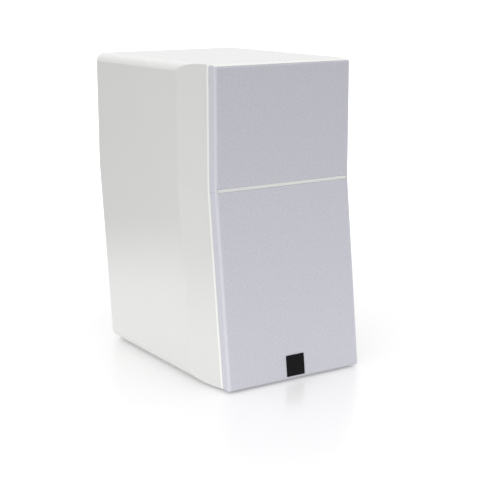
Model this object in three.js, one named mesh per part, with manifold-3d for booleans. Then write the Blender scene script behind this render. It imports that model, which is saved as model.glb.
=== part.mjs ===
// A two-way bookshelf loudspeaker: bent-sided cabinet, cone woofer, dome tweeter, rear port,
// four screw terminals with the crossover behind them, and a pull-off cloth grille.
// Millimetres, +Z up. The front faces -Y and the origin lies on the shelf under the middle of
// the cabinet's outline.
import * as THREE from "three";
import { mergeVertices } from "three/addons/utils/BufferGeometryUtils.js";
import Module from "manifold-3d";

// Driving dimensions of the cabinet
const overallHeight = 380;
const overallWidth = 216;
const frontWidth = 190; // across the front, after the side facets
const bodyDepth = 259; // rear face to baffle face, above the bend
const facetDepth = 50.5; // how far back each side facet begins
const edgeRadius = 11; // long top and bottom edges of the sides
const bendHeight = 236; // front and rear both bend here
const rake = THREE.MathUtils.degToRad(6.5); // lower half leans forward by this much
const footHeight = 2.5;
const board = 15; // panel thickness
const baffleThickness = 20;

// Driving dimensions of the grille
const grilleDepth = 13.5;
const grilleWidth = 189;
const grilleBottom = 3.5;
const lipDrop = 2; // fall of the lip above the grille, from root to tip
const lipTip = 0.8;
const barHeight = 3.8;
const badgeSize = 26;
const badgeRise = 2.3; // from the grille's bottom edge to the badge

// Places of the working parts
const wooferHeight = 118;
const tweeterHeight = 307;
const portHeight = 296;
const terminalHeight = 66;

const gap = 0.3; // clearance between neighbouring pieces
const thinGap = 0.1;
const roundSides = 28;
const smallSides = 12;
const midSides = 20;

const slope = Math.tan(rake);
const grilleTop = overallHeight - lipDrop - lipTip - gap;
const forwardShift = (z) => Math.max(0, bendHeight - z) * slope;
const badgeProud = 1.8;
const badgeHeight = grilleBottom + badgeRise + badgeSize / 2;
const badgeFront =
  forwardShift(badgeHeight) + badgeProud * Math.cos(rake) + (badgeSize / 2) * Math.sin(rake);
const rearY = (bodyDepth + grilleDepth + badgeFront) / 2;
const frontY = rearY - bodyDepth;
const creaseY = frontY + facetDepth;
const baseZ = footHeight + thinGap;

const wasm = await Module();
wasm.setup();

// ---- solids ----------------------------------------------------------------------------------

// A closed geometry as a solid that can be joined and cut.
function solid(geometry) {
  const bare = geometry.index ? geometry.toNonIndexed() : geometry.clone();
  bare.deleteAttribute("normal");
  bare.deleteAttribute("uv");
  const merged = mergeVertices(bare, 1e-4);
  return new wasm.Manifold(
    new wasm.Mesh({
      numProp: 3,
      vertProperties: merged.attributes.position.array,
      triVerts: new Uint32Array(merged.index.array),
    }),
  );
}

// A solid turned back into a geometry.
function geometryOf(made) {
  const mesh = made.getMesh();
  const geometry = new THREE.BufferGeometry();
  geometry.setAttribute("position", new THREE.BufferAttribute(mesh.vertProperties, 3));
  geometry.setIndex(new THREE.BufferAttribute(mesh.triVerts, 1));
  geometry.computeVertexNormals();
  return geometry;
}

// A closed outline of [radius, height] points turned round the Z axis.
function turned(points, sides = roundSides) {
  const closed = points[0][0] === 0 ? points : [...points, points[0]];
  const build = (outline) =>
    new THREE.LatheGeometry(
      outline.map(([r, z]) => new THREE.Vector2(r, z)),
      sides,
    ).rotateX(Math.PI / 2);
  const geometry = build(closed);
  return solid(geometry).volume() > 0 ? geometry : build([...closed].reverse());
}

const disc = (radius, low, high, sides = roundSides) =>
  turned([[0, low], [radius, low], [radius, high], [0, high]], sides);

const ring = (inner, outer, low, high, sides = roundSides) =>
  turned([[inner, low], [outer, low], [outer, high], [inner, high]], sides);

function box(x0, x1, y0, y1, z0, z1) {
  const geometry = new THREE.BoxGeometry(x1 - x0, y1 - y0, z1 - z0);
  return geometry.translate((x0 + x1) / 2, (y0 + y1) / 2, (z0 + z1) / 2);
}

const outline = (points) => new THREE.Shape(points.map(([x, y]) => new THREE.Vector2(x, y)));

const raised = (shape, low, high, curveSegments = 4) =>
  new THREE.ExtrudeGeometry(shape, {
    depth: high - low,
    bevelEnabled: false,
    curveSegments,
  }).translate(0, 0, low);

// A rectangle with round corners, centred on a point.
function roundRect(width, height, radius, x = 0, y = 0) {
  const shape = new THREE.Shape();
  const right = x + width / 2;
  const left = x - width / 2;
  const high = y + height / 2;
  const low = y - height / 2;
  const quarter = Math.PI / 2;
  shape.absarc(right - radius, high - radius, radius, 0, quarter);
  shape.absarc(left + radius, high - radius, radius, quarter, 2 * quarter);
  shape.absarc(left + radius, low + radius, radius, 2 * quarter, 3 * quarter);
  shape.absarc(right - radius, low + radius, radius, 3 * quarter, 4 * quarter);
  shape.closePath();
  return shape;
}

// A plan outline carried up the cabinet: upright above the bend, leaning forward below it.
function bent(plan, low, high) {
  const parts = [];
  if (high > bendHeight) {
    parts.push(solid(raised(outline(plan), Math.max(low, bendHeight), high)));
  }
  if (low < bendHeight) {
    const lean = new THREE.Matrix4().makeShear(0, 0, 0, 0, 0, slope);
    const lower = raised(outline(plan), low - bendHeight, Math.min(high, bendHeight) - bendHeight);
    parts.push(solid(lower.applyMatrix4(lean).translate(0, 0, bendHeight)));
  }
  return parts.length === 2 ? parts[0].add(parts[1]) : parts[0];
}

// A bent slice of the cabinet between two depths.
const slice = (y0, y1, low, high, halfWidth = overallWidth) =>
  bent([[-halfWidth, y0], [halfWidth, y0], [halfWidth, y1], [-halfWidth, y1]], low, high);

// A tube along a smooth route.
function tube(points, radius) {
  const section = new THREE.Shape();
  section.absarc(0, 0, radius, 0, 2 * Math.PI);
  const route = new THREE.CatmullRomCurve3(points.map((p) => new THREE.Vector3(...p)));
  return new THREE.ExtrudeGeometry(section, {
    steps: 22,
    curveSegments: 4,
    extrudePath: route,
    bevelEnabled: false,
  });
}

// ---- finishes --------------------------------------------------------------------------------

const finish = (color, roughness, metalness = 0) => ({ color, roughness, metalness });
const finishes = {
  lacquer: finish(0xececea, 0.12),
  fibreboard: finish(0x9a7650, 0.9),
  wadding: finish(0xd8d8d2, 1),
  rubber: finish(0x1c1c1c, 0.85),
  castMetal: finish(0x2c2d2f, 0.55, 0.6),
  gasket: finish(0x202122, 0.7),
  metalCone: finish(0xb9bbbe, 0.32, 0.9),
  domeMetal: finish(0xc8cacc, 0.25, 0.9),
  spiderCloth: finish(0xb58a3e, 0.9),
  coilWire: finish(0xb06a3a, 0.4, 0.8),
  steel: finish(0x9a9c9e, 0.35, 0.9),
  ferrite: finish(0x2a2a2b, 0.7),
  moulding: finish(0x1a1b1c, 0.45),
  brass: finish(0xd0ab55, 0.25, 0.95),
  redKnob: finish(0xa01820, 0.3),
  blackKnob: finish(0x151515, 0.3),
  circuitBoard: finish(0x1f5a36, 0.5),
  capacitor: finish(0x2b4a86, 0.45),
  cable: finish(0x8c1f1f, 0.5),
  cloth: finish(0xc6c6ce, 0.95),
  bar: finish(0xd6d7d3, 0.35),
  badge: finish(0x212020, 0.3),
};

const speaker = new THREE.Group();

// Adds one named piece to a group.
function piece(name, shape, look, parent = speaker) {
  const geometry = shape.isBufferGeometry ? shape : geometryOf(shape);
  const mesh = new THREE.Mesh(geometry, new THREE.MeshStandardMaterial(finishes[look]));
  mesh.name = name;
  parent.add(mesh);
  return mesh;
}

// A group whose +Z points out of the cabinet, for what is turned about its own axis.
function seat(y, z, tilt) {
  const group = new THREE.Group();
  group.position.set(0, y, z);
  group.rotation.x = tilt;
  speaker.add(group);
  group.updateMatrixWorld(true);
  return group;
}

const quarterTurn = Math.PI / 2;
const wooferSeat = seat(frontY - forwardShift(wooferHeight), wooferHeight, quarterTurn - rake);
const tweeterSeat = seat(frontY, tweeterHeight, quarterTurn);
const portSeat = seat(rearY, portHeight, -quarterTurn);
const terminalSeat = seat(
  rearY - forwardShift(terminalHeight),
  terminalHeight,
  -quarterTurn - rake,
);

// A cutter drawn in a seat's own frame, as a solid in the cabinet's frame.
const cutter = (group, geometry) => solid(geometry.applyMatrix4(group.matrixWorld));

// ---- cabinet ---------------------------------------------------------------------------------

const sideX = overallWidth / 2;
const frontX = frontWidth / 2;
const facetSlope = (sideX - frontX) / facetDepth;
const facetLength = Math.hypot(1, facetSlope);
const past = 60; // cutters run this far past what they cut

// The cabinet's plan, drawn in by a distance on the sides and facets.
function plan(inset, rear = rearY + past, ahead = 0) {
  const side = sideX - inset;
  const front = frontX - inset * facetLength - ahead * facetSlope;
  const crease = frontY - ahead + (side - front) / facetSlope;
  const right = [[front, frontY - ahead], [side, crease], [side, rear]];
  const left = right.map(([x, y]) => [-x, y]).reverse();
  return [...right, ...left];
}

const middleZ = (overallHeight + baseZ) / 2;
const section = raised(
  roundRect(overallWidth, overallHeight - baseZ, edgeRadius, 0, middleZ),
  -overallWidth,
  overallWidth,
  5,
).rotateX(quarterTurn);
const envelope = bent(plan(0, rearY), baseZ - past, overallHeight + past).intersect(solid(section));

const insideRear = rearY - board;
const baffleBack = frontY + baffleThickness;
const top = overallHeight + past;
const shell = envelope.intersect(slice(baffleBack + thinGap, rearY + past, -past, top));
const core = bent(plan(board, rearY + past, past), -past, top);
const coreInset = bent(plan(board + thinGap, rearY + past, past), -past, top);

const wideBox = (x0, x1, z0, z1) => solid(box(x0, x1, -overallWidth, overallWidth, z0, z1));
const walls = shell.subtract(core);
piece("side_left", walls.intersect(wideBox(-sideX - past, 0, -past, top)), "lacquer");
piece("side_right", walls.intersect(wideBox(0, sideX + past, -past, top)), "lacquer");

const panels = shell.intersect(coreInset);
const topInside = overallHeight - board;
const bottomInside = baseZ + board;
piece("top_panel", panels.intersect(wideBox(-sideX, sideX, topInside, top)), "lacquer");
piece("bottom_panel", panels.intersect(wideBox(-sideX, sideX, -past, bottomInside)), "lacquer");

// Front baffle, with the lip that covers the grille's top edge
const lipRoot = 3;
const lip = raised(
  outline([
    [frontY + lipRoot, overallHeight],
    [frontY, overallHeight],
    [frontY - grilleDepth, overallHeight - lipDrop],
    [frontY - grilleDepth, overallHeight - lipDrop - lipTip],
    [frontY + lipRoot, overallHeight - lipDrop - lipTip],
  ]),
  -frontX,
  frontX,
)
  .rotateY(quarterTurn)
  .rotateX(quarterTurn);

const wooferHole = 73;
const wooferRecess = 84.4;
const tweeterHole = 38;
const tweeterRecess = 52.4;
const recessDepth = 5.3;
const pinX = 84;
const pinHeights = [22, 358];
const pinRadius = 3;
const pinReach = 9;
const socketRadius = 4;
const pins = pinHeights.flatMap((z) => [[-pinX, z], [pinX, z]]);
const alongY = (x, z, radius, y0, y1) =>
  solid(disc(radius, -y1, -y0, smallSides).rotateX(quarterTurn).translate(x, 0, z));

let baffle = envelope.intersect(slice(frontY - past, baffleBack, -past, top)).add(solid(lip));
const baffleCuts = [
  cutter(wooferSeat, disc(wooferHole, -2 * baffleThickness, 1)),
  cutter(wooferSeat, disc(wooferRecess, -recessDepth, 1)),
  cutter(tweeterSeat, disc(tweeterHole, -2 * baffleThickness, 1)),
  cutter(tweeterSeat, disc(tweeterRecess, -recessDepth, 1)),
  ...pins.map(([x, z]) => {
    const face = frontY - forwardShift(z);
    return alongY(x, z, socketRadius, face - socketRadius, face + pinReach + 1);
  }),
];
for (const cut of baffleCuts) {
  baffle = baffle.subtract(cut);
}
piece("front_baffle", baffle, "lacquer");

// Rear panel, let in between the walls
const portHole = 37;
const flangeRadius = 44;
const flangeThickness = 3;
const terminalPlate = [116, 80];
const terminalOpening = [100, 64];
const rearPanel = bent(plan(board + gap), bottomInside + gap, topInside - gap)
  .intersect(slice(insideRear, rearY - thinGap, -past, top))
  .subtract(cutter(portSeat, disc(portHole, -2 * board, 1)))
  .subtract(cutter(portSeat, disc(flangeRadius + gap, -flangeThickness - gap, 1)))
  .subtract(cutter(terminalSeat, raised(roundRect(...terminalOpening, 4), -2 * board, 2)));
piece("rear_panel", rearPanel, "lacquer");

// Brace with two windows, glued across the cabinet level with the bend
const braceLow = 221;
const braceHigh = 233;
const window = { width: 62, length: 150, radius: 12, x: 43, y: 24 };
let brace = bent(plan(board + gap), braceLow, braceHigh).intersect(
  slice(baffleBack + gap, insideRear - gap, -past, top),
);
for (const side of [-1, 1]) {
  const hole = roundRect(window.width, window.length, window.radius, side * window.x, window.y);
  brace = brace.subtract(solid(raised(hole, braceLow - 1, braceHigh + 1)));
}
piece("window_brace", brace, "fibreboard");

// Sound-absorbing pads
const padX = sideX - board - gap;
const padThickness = 13;
const sidePad = { front: -50, rear: 98, low: 32, high: 206 };
const topPad = { half: 84, front: -56, rear: 126, thickness: 18 };
for (const [name, side] of [["wadding_left", -1], ["wadding_right", 1]]) {
  const inner = side * (padX - padThickness);
  const outer = side * padX;
  const { front, rear, low, high } = sidePad;
  const pad = box(Math.min(inner, outer), Math.max(inner, outer), front, rear, low, high);
  piece(name, pad, "wadding");
}
const padTop = topInside - gap;
const overPad = box(
  -topPad.half,
  topPad.half,
  topPad.front,
  topPad.rear,
  padTop - topPad.thickness,
  padTop,
);
piece("wadding_top", overPad, "wadding");

// Feet
const footX = 82;
const footInset = 24;
const footRadius = 10;
const bottomShift = forwardShift(baseZ);
for (const [end, y] of [["front", frontY + footInset], ["rear", rearY - footInset]]) {
  for (const [side, x] of [["left", -footX], ["right", footX]]) {
    const foot = turned(
      [[0, 0], [footRadius - 1, 0], [footRadius, 1], [footRadius, footHeight], [0, footHeight]],
      smallSides,
    );
    piece(`foot_${end}_${side}`, foot.translate(x, y - bottomShift, 0), "rubber");
  }
}

// ---- woofer: heights are measured out from the baffle's face ----------------------------------

const flangeOuter = 84;
const flangeStep = 77; // inside this the flange drops to seat the surround
const basketBottom = -45;
const basketOutline = [
  [flangeOuter, 0],
  [flangeOuter, -5],
  [72.6, -5],
  [71, -8],
  [47.5, -42],
  [47.5, basketBottom],
  [24, basketBottom],
  [24, -42],
  [40, -42],
  [40, -35],
  [42.5, -35],
  [42.5, -41.2],
  [45, -41.2],
  [68.5, -7.5],
  [68.5, -2.2],
  [flangeStep, -2.2],
  [flangeStep, 0],
];
const arms = 6;
const armWindow = { inner: 44, outer: 90, low: -37, high: -10 };
let basket = solid(turned(basketOutline));
const windowHalfAngle = THREE.MathUtils.degToRad(20);
for (let i = 0; i < arms; i += 1) {
  const middle = ((i + 0.5) * 2 * Math.PI) / arms + quarterTurn;
  const edge = (radius, side) => {
    const angle = middle + side * windowHalfAngle;
    return [radius * Math.cos(angle), radius * Math.sin(angle)];
  };
  const { inner, outer, low, high } = armWindow;
  const opening = outline([edge(inner, -1), edge(outer, -1), edge(outer, 1), edge(inner, 1)]);
  basket = basket.subtract(solid(raised(opening, low, high)));
}
const tagStrip = box(-7, 7, 57, 63.5, -29, -21); // holds the two solder tags
basket = basket.add(solid(tagStrip));
piece("woofer_basket", basket, "castMetal", wooferSeat);
piece("woofer_gasket_ring", ring(71.2, 76.7, -1.1, 0.6), "gasket", wooferSeat);

// Half-roll surround, glued to the basket outside and the cone inside
const rollCentre = 64;
function arc(centre, height, radius, steps, from, to) {
  return Array.from({ length: steps + 1 }, (_, i) => {
    const angle = from + ((to - from) * i) / steps;
    return [centre + radius * Math.cos(angle), height + radius * Math.sin(angle)];
  });
}
const surround = [
  [76.5, -1.4],
  ...arc(rollCentre, -1.4, 6.2, 6, 0, Math.PI),
  [54.5, -1.4],
  [54.5, -2],
  ...arc(rollCentre, -2, 5.3, 6, Math.PI, 0),
  [76.5, -2],
];
piece("woofer_surround", turned(surround), "rubber", wooferSeat);

const neck = 17;
const cone = [
  [57.5, -2.2],
  [35, -16.5],
  [neck, -25.5],
  [neck, -26.7],
  [35, -17.7],
  [57.5, -3.4],
];
piece("woofer_cone", turned(cone), "metalCone", wooferSeat);

// A thin spherical cap, as an outline to turn
function cap(rim, height, low, thickness, steps) {
  const domed = (radius, rise, lift) =>
    Array.from({ length: steps + 1 }, (_, i) => {
      const r = (radius * i) / steps;
      return [r, lift + rise * (1 - (r / radius) ** 2)];
    });
  const inside = domed(rim - thickness, height - thickness, low);
  const outside = domed(rim, height, low);
  return [...inside, ...outside.reverse()];
}
piece("woofer_dust_cap", turned(cap(21.4, 8.5, -23.2, 0.8, 4), midSides), "metalCone", wooferSeat);

const voiceCoil = [
  [16.2, -25],
  [16.7, -25],
  [16.7, -45],
  [17.9, -45],
  [17.9, -57],
  [16.2, -57],
];
piece("woofer_voice_coil", turned(voiceCoil, midSides), "coilWire", wooferSeat);

// Corrugated spider between the basket's inner ledge and the voice coil former
const spiderWaves = 3;
const spiderInner = 17.2;
const spiderOuter = 42.2;
const spiderRest = -34.6;
const spiderSkin = 0.6;
const spiderPoints = Array.from({ length: 2 * spiderWaves + 2 }, (_, i) => {
  const last = 2 * spiderWaves + 1;
  const r = spiderInner + ((spiderOuter - spiderInner) * i) / last;
  return [r, i % 2 === 1 ? spiderRest : spiderRest + 2.4];
});
const spiderOver = spiderPoints.map(([r, z]) => [r, z + spiderSkin]).reverse();
piece("woofer_spider", turned([...spiderPoints, ...spiderOver], midSides), "spiderCloth", wooferSeat);

piece("woofer_top_plate", ring(18.6, 45, -51.3, basketBottom - gap), "steel", wooferSeat);
piece("woofer_magnet", ring(26, 46, -67.3, -51.6), "ferrite", wooferSeat);
const pole = 15.6;
const yoke = [
  [5, -73.6],
  [45, -73.6],
  [45, -67.6],
  [pole, -67.6],
  [pole, -45.5],
  [5, -45.5],
];
piece("woofer_yoke", turned(yoke), "steel", wooferSeat);

// ---- tweeter ---------------------------------------------------------------------------------

const waveguide = [
  [52, -5],
  [52, -0.6],
  [50.5, 0],
  [46, -0.1],
  [38, -1.6],
  [29, -4.4],
  [21, -7.6],
  [16.2, -10.4],
  [16.2, -12.6],
  [37, -12.6],
  [37, -5],
];
piece("tweeter_waveguide", turned(waveguide), "moulding", tweeterSeat);
const domeRim = 12.6;
const domeSurround = [
  [16, -12],
  [15.6, -12],
  [14.4, -10.9],
  [13.2, -12],
  [12.9, -12],
  [12.9, -12.5],
  [13.3, -12.5],
  [14.4, -11.5],
  [15.5, -12.5],
  [16, -12.5],
];
piece("tweeter_surround", turned(domeSurround, midSides), "rubber", tweeterSeat);
piece("tweeter_dome", turned(cap(domeRim, 5.5, -12, 0.5, 4), midSides), "domeMetal", tweeterSeat);
piece("tweeter_voice_coil", ring(12.2, domeRim, -18, -12.3, midSides), "coilWire", tweeterSeat);
piece("tweeter_top_plate", ring(13.2, 29, -15.9, -12.9, midSides), "steel", tweeterSeat);
piece("tweeter_magnet", ring(18, 31, -26.2, -16.2, midSides), "ferrite", tweeterSeat);
const tweeterYoke = [
  [2.5, -30.5],
  [28, -30.5],
  [28, -26.5],
  [11.6, -26.5],
  [11.6, -13.2],
  [2.5, -13.2],
];
piece("tweeter_yoke", turned(tweeterYoke, midSides), "steel", tweeterSeat);
const chamber = [
  [0, -52],
  [27, -52],
  [27, -30.8],
  [25, -30.8],
  [25, -50],
  [0, -50],
];
piece("tweeter_rear_chamber", turned(chamber, midSides), "moulding", tweeterSeat);

// ---- port: a tube flared at both ends --------------------------------------------------------

const portBore = 22;
const portWall = 2.5;
const portLength = 116;
const portTube = [
  [flangeRadius, 0],
  [flangeRadius, -flangeThickness],
  [36.5, -flangeThickness],
  [36, -5],
  [28, -13],
  [portBore + portWall, -20],
  [portBore + portWall, 16 - portLength],
  [30, 6 - portLength],
  [33, -portLength],
  [30.5, -portLength],
  [27.5, 6 - portLength],
  [portBore, 16 - portLength],
  [portBore, -18],
  [25, -10],
  [30, -4],
  [38, -0.5],
];
piece("port_tube", turned(portTube, 24), "moulding", portSeat);

// ---- terminals: four binding posts, linked in pairs ------------------------------------------

const postX = 19;
const postY = 14;
const postHole = 3.4;
const plateFront = 3.3;
const collarFront = 5;
const pillarReach = -14.7;
let plate = solid(raised(roundRect(...terminalPlate, 5), gap, plateFront));
for (const x of [-1, 1]) {
  for (const y of [-1, 1]) {
    const collar = disc(8, plateFront - 1, collarFront, smallSides);
    const pillar = disc(3, pillarReach, 1, smallSides);
    const hole = disc(postHole, 0, collarFront + 1, smallSides);
    plate = plate
      .add(solid(pillar.translate(x * 43, y * 26, 0)))
      .add(solid(collar.translate(x * postX, y * postY, 0)))
      .subtract(solid(hole.translate(x * postX, y * postY, 0)));
  }
}
piece("terminal_plate", plate, "moulding", terminalSeat);

const shank = 3;
const linkLow = 6.5;
const linkHigh = 7.3;
const postTip = 17.6;
const postOutline = [
  [0, pillarReach],
  [shank, pillarReach],
  [shank, collarFront + gap],
  [5.5, collarFront + gap],
  [5.5, linkLow - gap],
  [shank, linkLow - gap],
  [shank, postTip],
  [2.1, postTip],
  [2.1, 9],
  [0, 9],
];

// A knob's fluted outline, with the hole that runs over the shank
function knobOutline(radius, flutes, bore) {
  const perFlute = 3;
  const count = flutes * perFlute;
  const rim = Array.from({ length: count }, (_, i) => {
    const angle = (2 * Math.PI * i) / count;
    const r = i % perFlute === 0 ? radius - 0.8 : radius;
    return [r * Math.cos(angle), r * Math.sin(angle)];
  });
  const shape = outline(rim);
  const hole = new THREE.Path();
  hole.absarc(0, 0, bore, 0, 2 * Math.PI, true);
  shape.holes.push(hole);
  return shape;
}

const washer = { low: linkHigh + gap, high: linkHigh + gap + 1 };
const knob = { low: washer.high + gap, high: 17, radius: 7.5 };
const posts = [
  ["hf_positive", postX, -postY, "redKnob"],
  ["hf_negative", -postX, -postY, "blackKnob"],
  ["lf_positive", postX, postY, "redKnob"],
  ["lf_negative", -postX, postY, "blackKnob"],
];
for (const [name, x, y, colour] of posts) {
  const at = (geometry) => geometry.translate(x, y, 0);
  piece(`post_${name}`, at(turned(postOutline, smallSides)), "brass", terminalSeat);
  const washerRing = ring(postHole, 6.4, washer.low, washer.high, smallSides);
  piece(`washer_${name}`, at(washerRing), "brass", terminalSeat);
  const grip = raised(knobOutline(knob.radius, 12, postHole), knob.low, knob.high, 8);
  piece(`knob_${name}`, at(grip), colour, terminalSeat);
}

// Brass links from each upper post to the lower one
for (const [name, x] of [["link_positive", postX], ["link_negative", -postX]]) {
  const strip = roundRect(10, 2 * postY + 10, 4.9, x, 0);
  for (const y of [-postY, postY]) {
    const hole = new THREE.Path();
    hole.absarc(x, y, postHole, 0, 2 * Math.PI, true);
    strip.holes.push(hole);
  }
  piece(name, raised(strip, linkLow, linkHigh, 8), "brass", terminalSeat);
}

// Crossover on the back of the terminal plate
const boardFront = pillarReach - gap;
const boardBack = boardFront - 1.6;
const partsFront = boardBack - gap;
piece(
  "crossover_board",
  raised(roundRect(96, 60, 3), boardBack, boardFront),
  "circuitBoard",
  terminalSeat,
);
const largeCoil = ring(10, 21, partsFront - 20, partsFront, midSides).translate(-25, 7, 0);
const smallCoil = ring(7, 14.5, partsFront - 15, partsFront, midSides).translate(25, -9, 0);
piece("crossover_inductor_large", largeCoil, "coilWire", terminalSeat);
piece("crossover_inductor_small", smallCoil, "coilWire", terminalSeat);
const lyingCan = (radius, length, x, y) =>
  disc(radius, -length / 2, length / 2, smallSides)
    .rotateY(quarterTurn)
    .translate(x, y, partsFront - radius);
piece("crossover_capacitor_large", lyingCan(9, 36, 23, 20), "capacitor", terminalSeat);
piece("crossover_capacitor_small", lyingCan(6.5, 28, -24, -22), "capacitor", terminalSeat);

// Wiring held inside the cabinet, from the crossover to each driver
const wooferRoute = [
  [8, 111, 95],
  [8, 96, 97],
  [20, 60, 140],
  [14, 0, 190],
  [6, -50, 204],
  [1, -82, 202],
  [0, -90.4, 192],
  [0, -90.8, 181],
];
const tweeterRoute = [
  [18, 111, 95],
  [19, 94, 99],
  [32, 60, 170],
  [40, 48, 226],
  [50, 30, 258],
  [50, -40, 290],
  [42, -72, 304],
  [35.4, -86, 307],
  [35, -96, tweeterHeight],
];
piece("woofer_lead", tube(wooferRoute, 2), "cable");
piece("tweeter_lead", tube(tweeterRoute, 1.7), "cable");

// ---- grille ----------------------------------------------------------------------------------

const clothSkin = 0.8;
const grilleX = grilleWidth / 2;
const frameX = grilleX - clothSkin - thinGap;
const frameFront = frontY - grilleDepth + clothSkin + thinGap;
const frameBack = frontY - 0.6;
const rib = 10;
const frameTop = grilleTop - clothSkin - thinGap;
const frameBottom = grilleBottom + clothSkin + thinGap;

// Frame with an upper and a lower window either side of the rail behind the bar
let grilleFrame = slice(frameFront, frameBack, frameBottom, frameTop, frameX);
const openings = [
  [frameBottom + rib, bendHeight - rib],
  [bendHeight + rib, frameTop - rib],
];
for (const [low, high] of openings) {
  grilleFrame = grilleFrame.subtract(
    slice(frameFront - 1, frameBack + 1, low, high, frameX - rib),
  );
}
for (const [x, z] of pins) {
  const face = frontY - forwardShift(z);
  grilleFrame = grilleFrame.add(alongY(x, z, pinRadius, face - 5, face + pinReach - 1));
}
piece("grille_frame", grilleFrame, "moulding");

// Cloth drawn over the front, the sides and the outer end of each half of the frame. The two halves
// meet at the bend, with a slot across the face for the bar.
const clothBack = frontY - 1.1;
const barX = 92.5;
const barLow = bendHeight - barHeight / 2;
const barHigh = bendHeight + barHeight / 2;
const slotFront = frontY - grilleDepth - past;
const barSlot = slice(slotFront, frameFront + gap, barLow - gap, barHigh + gap, barX + gap);
function cloth(low, high, hollowLow, hollowHigh) {
  const skin = slice(frontY - grilleDepth, clothBack, low, high, grilleX);
  const hollow = slice(frameFront - thinGap, 0, hollowLow, hollowHigh, grilleX - clothSkin);
  return skin.subtract(hollow).subtract(barSlot);
}
piece(
  "grille_cloth_upper",
  cloth(bendHeight + gap / 2, grilleTop, 0, grilleTop - clothSkin),
  "cloth",
);
piece(
  "grille_cloth_lower",
  cloth(grilleBottom, bendHeight - gap / 2, grilleBottom + clothSkin, overallHeight),
  "cloth",
);
const barProud = 0.4;
const bar = slice(
  frontY - grilleDepth - barProud,
  frameFront - thinGap,
  barLow,
  barHigh,
  barX,
);
piece("grille_bar", bar, "bar");

const badgeSeat = seat(
  frontY - grilleDepth - forwardShift(badgeHeight),
  badgeHeight,
  quarterTurn - rake,
);
const badgePlate = raised(roundRect(badgeSize, badgeSize, 1), 0.2, badgeProud);
piece("grille_badge", badgePlate, "badge", badgeSeat);

export default speaker;
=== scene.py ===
"""Visual model of a two-way bookshelf loudspeaker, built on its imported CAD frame.

Every class below is one sub-assembly. Sizes are millimetres in the dataclass fields, shapes are worked
out as numpy grids in millimetres, and only the finished mesh is in metres.
"""
import logging
from dataclasses import dataclass, field
from enum import Enum
from typing import Any, Sequence

import bpy
import numpy as np
from mathutils import Euler, Matrix, Vector


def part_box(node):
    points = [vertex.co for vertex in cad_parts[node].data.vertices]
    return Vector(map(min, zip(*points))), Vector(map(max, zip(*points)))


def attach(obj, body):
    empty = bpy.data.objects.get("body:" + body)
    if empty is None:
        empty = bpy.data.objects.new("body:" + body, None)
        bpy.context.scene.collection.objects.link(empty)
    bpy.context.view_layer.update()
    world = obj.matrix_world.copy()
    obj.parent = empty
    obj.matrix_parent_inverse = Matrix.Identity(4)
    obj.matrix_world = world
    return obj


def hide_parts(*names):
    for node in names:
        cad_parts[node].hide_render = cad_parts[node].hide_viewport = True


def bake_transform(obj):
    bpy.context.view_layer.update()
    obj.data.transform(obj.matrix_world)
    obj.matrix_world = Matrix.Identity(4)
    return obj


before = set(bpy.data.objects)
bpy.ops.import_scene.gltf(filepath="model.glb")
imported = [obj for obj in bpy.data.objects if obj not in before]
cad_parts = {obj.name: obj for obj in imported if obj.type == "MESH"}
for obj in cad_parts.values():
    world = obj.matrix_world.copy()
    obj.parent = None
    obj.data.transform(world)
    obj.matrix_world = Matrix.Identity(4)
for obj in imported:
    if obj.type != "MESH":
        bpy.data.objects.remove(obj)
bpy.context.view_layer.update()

Socket = bpy.types.NodeSocket
Thing = bpy.types.Object
Pair = tuple[float, float]
Triple = tuple[float, float, float]
Outline = tuple[Pair, ...]
Rows = tuple[Triple, ...]

MM = 0.001
SHORT_EDGE = 0.45  # the most of an edge that one corner's rounding takes up
NEARLY = 1e-6
ON_BEND = 1e-3  # how near the bend a point counts as on it
THIN = 0.01  # the edge radius of a shape that only cuts
log = logging.getLogger("loudspeaker")


# ---- surfaces ----------------------------------------------------------------------------------


@dataclass
class Surface:
    """Points in millimetres, four-sided faces as rows of point numbers, and other faces as lists."""

    points: np.ndarray
    quads: np.ndarray
    faces: list[list[int]] = field(default_factory=list)

    def triangles(self) -> np.ndarray:
        """Splits every face: each quad once, and each other face as a fan.

        Returns:
            A row of three point numbers for each triangle.
        """
        parts = [self.quads[:, [0, 1, 2]], self.quads[:, [0, 2, 3]]]
        fans = [[[f[0], f[i], f[i + 1]] for i in range(1, len(f) - 1)] for f in self.faces]
        flat = [t for fan in fans for t in fan]
        if flat:
            parts.append(np.array(flat, int))
        return np.concatenate(parts)

    def outward(self) -> "Surface":
        """Turns the faces outward, told by the sign of the volume inside.

        Returns:
            The surface, as it was or with every face reversed.
        """
        a, b, c = (self.points[self.triangles()[:, i]] for i in range(3))
        if (a * np.cross(b, c)).sum() >= 0:
            return self
        return Surface(self.points, self.quads[:, ::-1], [f[::-1] for f in self.faces])

    def moved(self, matrix: Matrix) -> "Surface":
        """Returns the surface after a turn and a move.

        Args:
            matrix: the turn and the move, in millimetres.
        """
        m = np.array(matrix, float)
        return Surface(self.points @ m[:3, :3].T + m[:3, 3], self.quads, self.faces)

    def shifted(self, x: float = 0.0, y: float = 0.0, z: float = 0.0) -> "Surface":
        """Returns the surface moved by a step along each axis."""
        return Surface(self.points + np.array([x, y, z]), self.quads, self.faces)

    def turned_about_z(self, angle: float) -> "Surface":
        """Returns the surface turned about Z by an angle in radians."""
        return self.moved(Matrix.Rotation(angle, 4, "Z"))


def joined(surfaces: Sequence[Surface]) -> Surface:
    """Puts surfaces into one, each keeping its own points.

    Args:
        surfaces: the surfaces to put together.

    Returns:
        One surface that holds them all.
    """
    starts = np.cumsum([0] + [len(s.points) for s in surfaces])
    return Surface(
        np.concatenate([s.points for s in surfaces]),
        np.concatenate([s.quads + start for s, start in zip(surfaces, starts)]),
        [[i + int(start) for i in f] for s, start in zip(surfaces, starts) for f in s.faces],
    )


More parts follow.
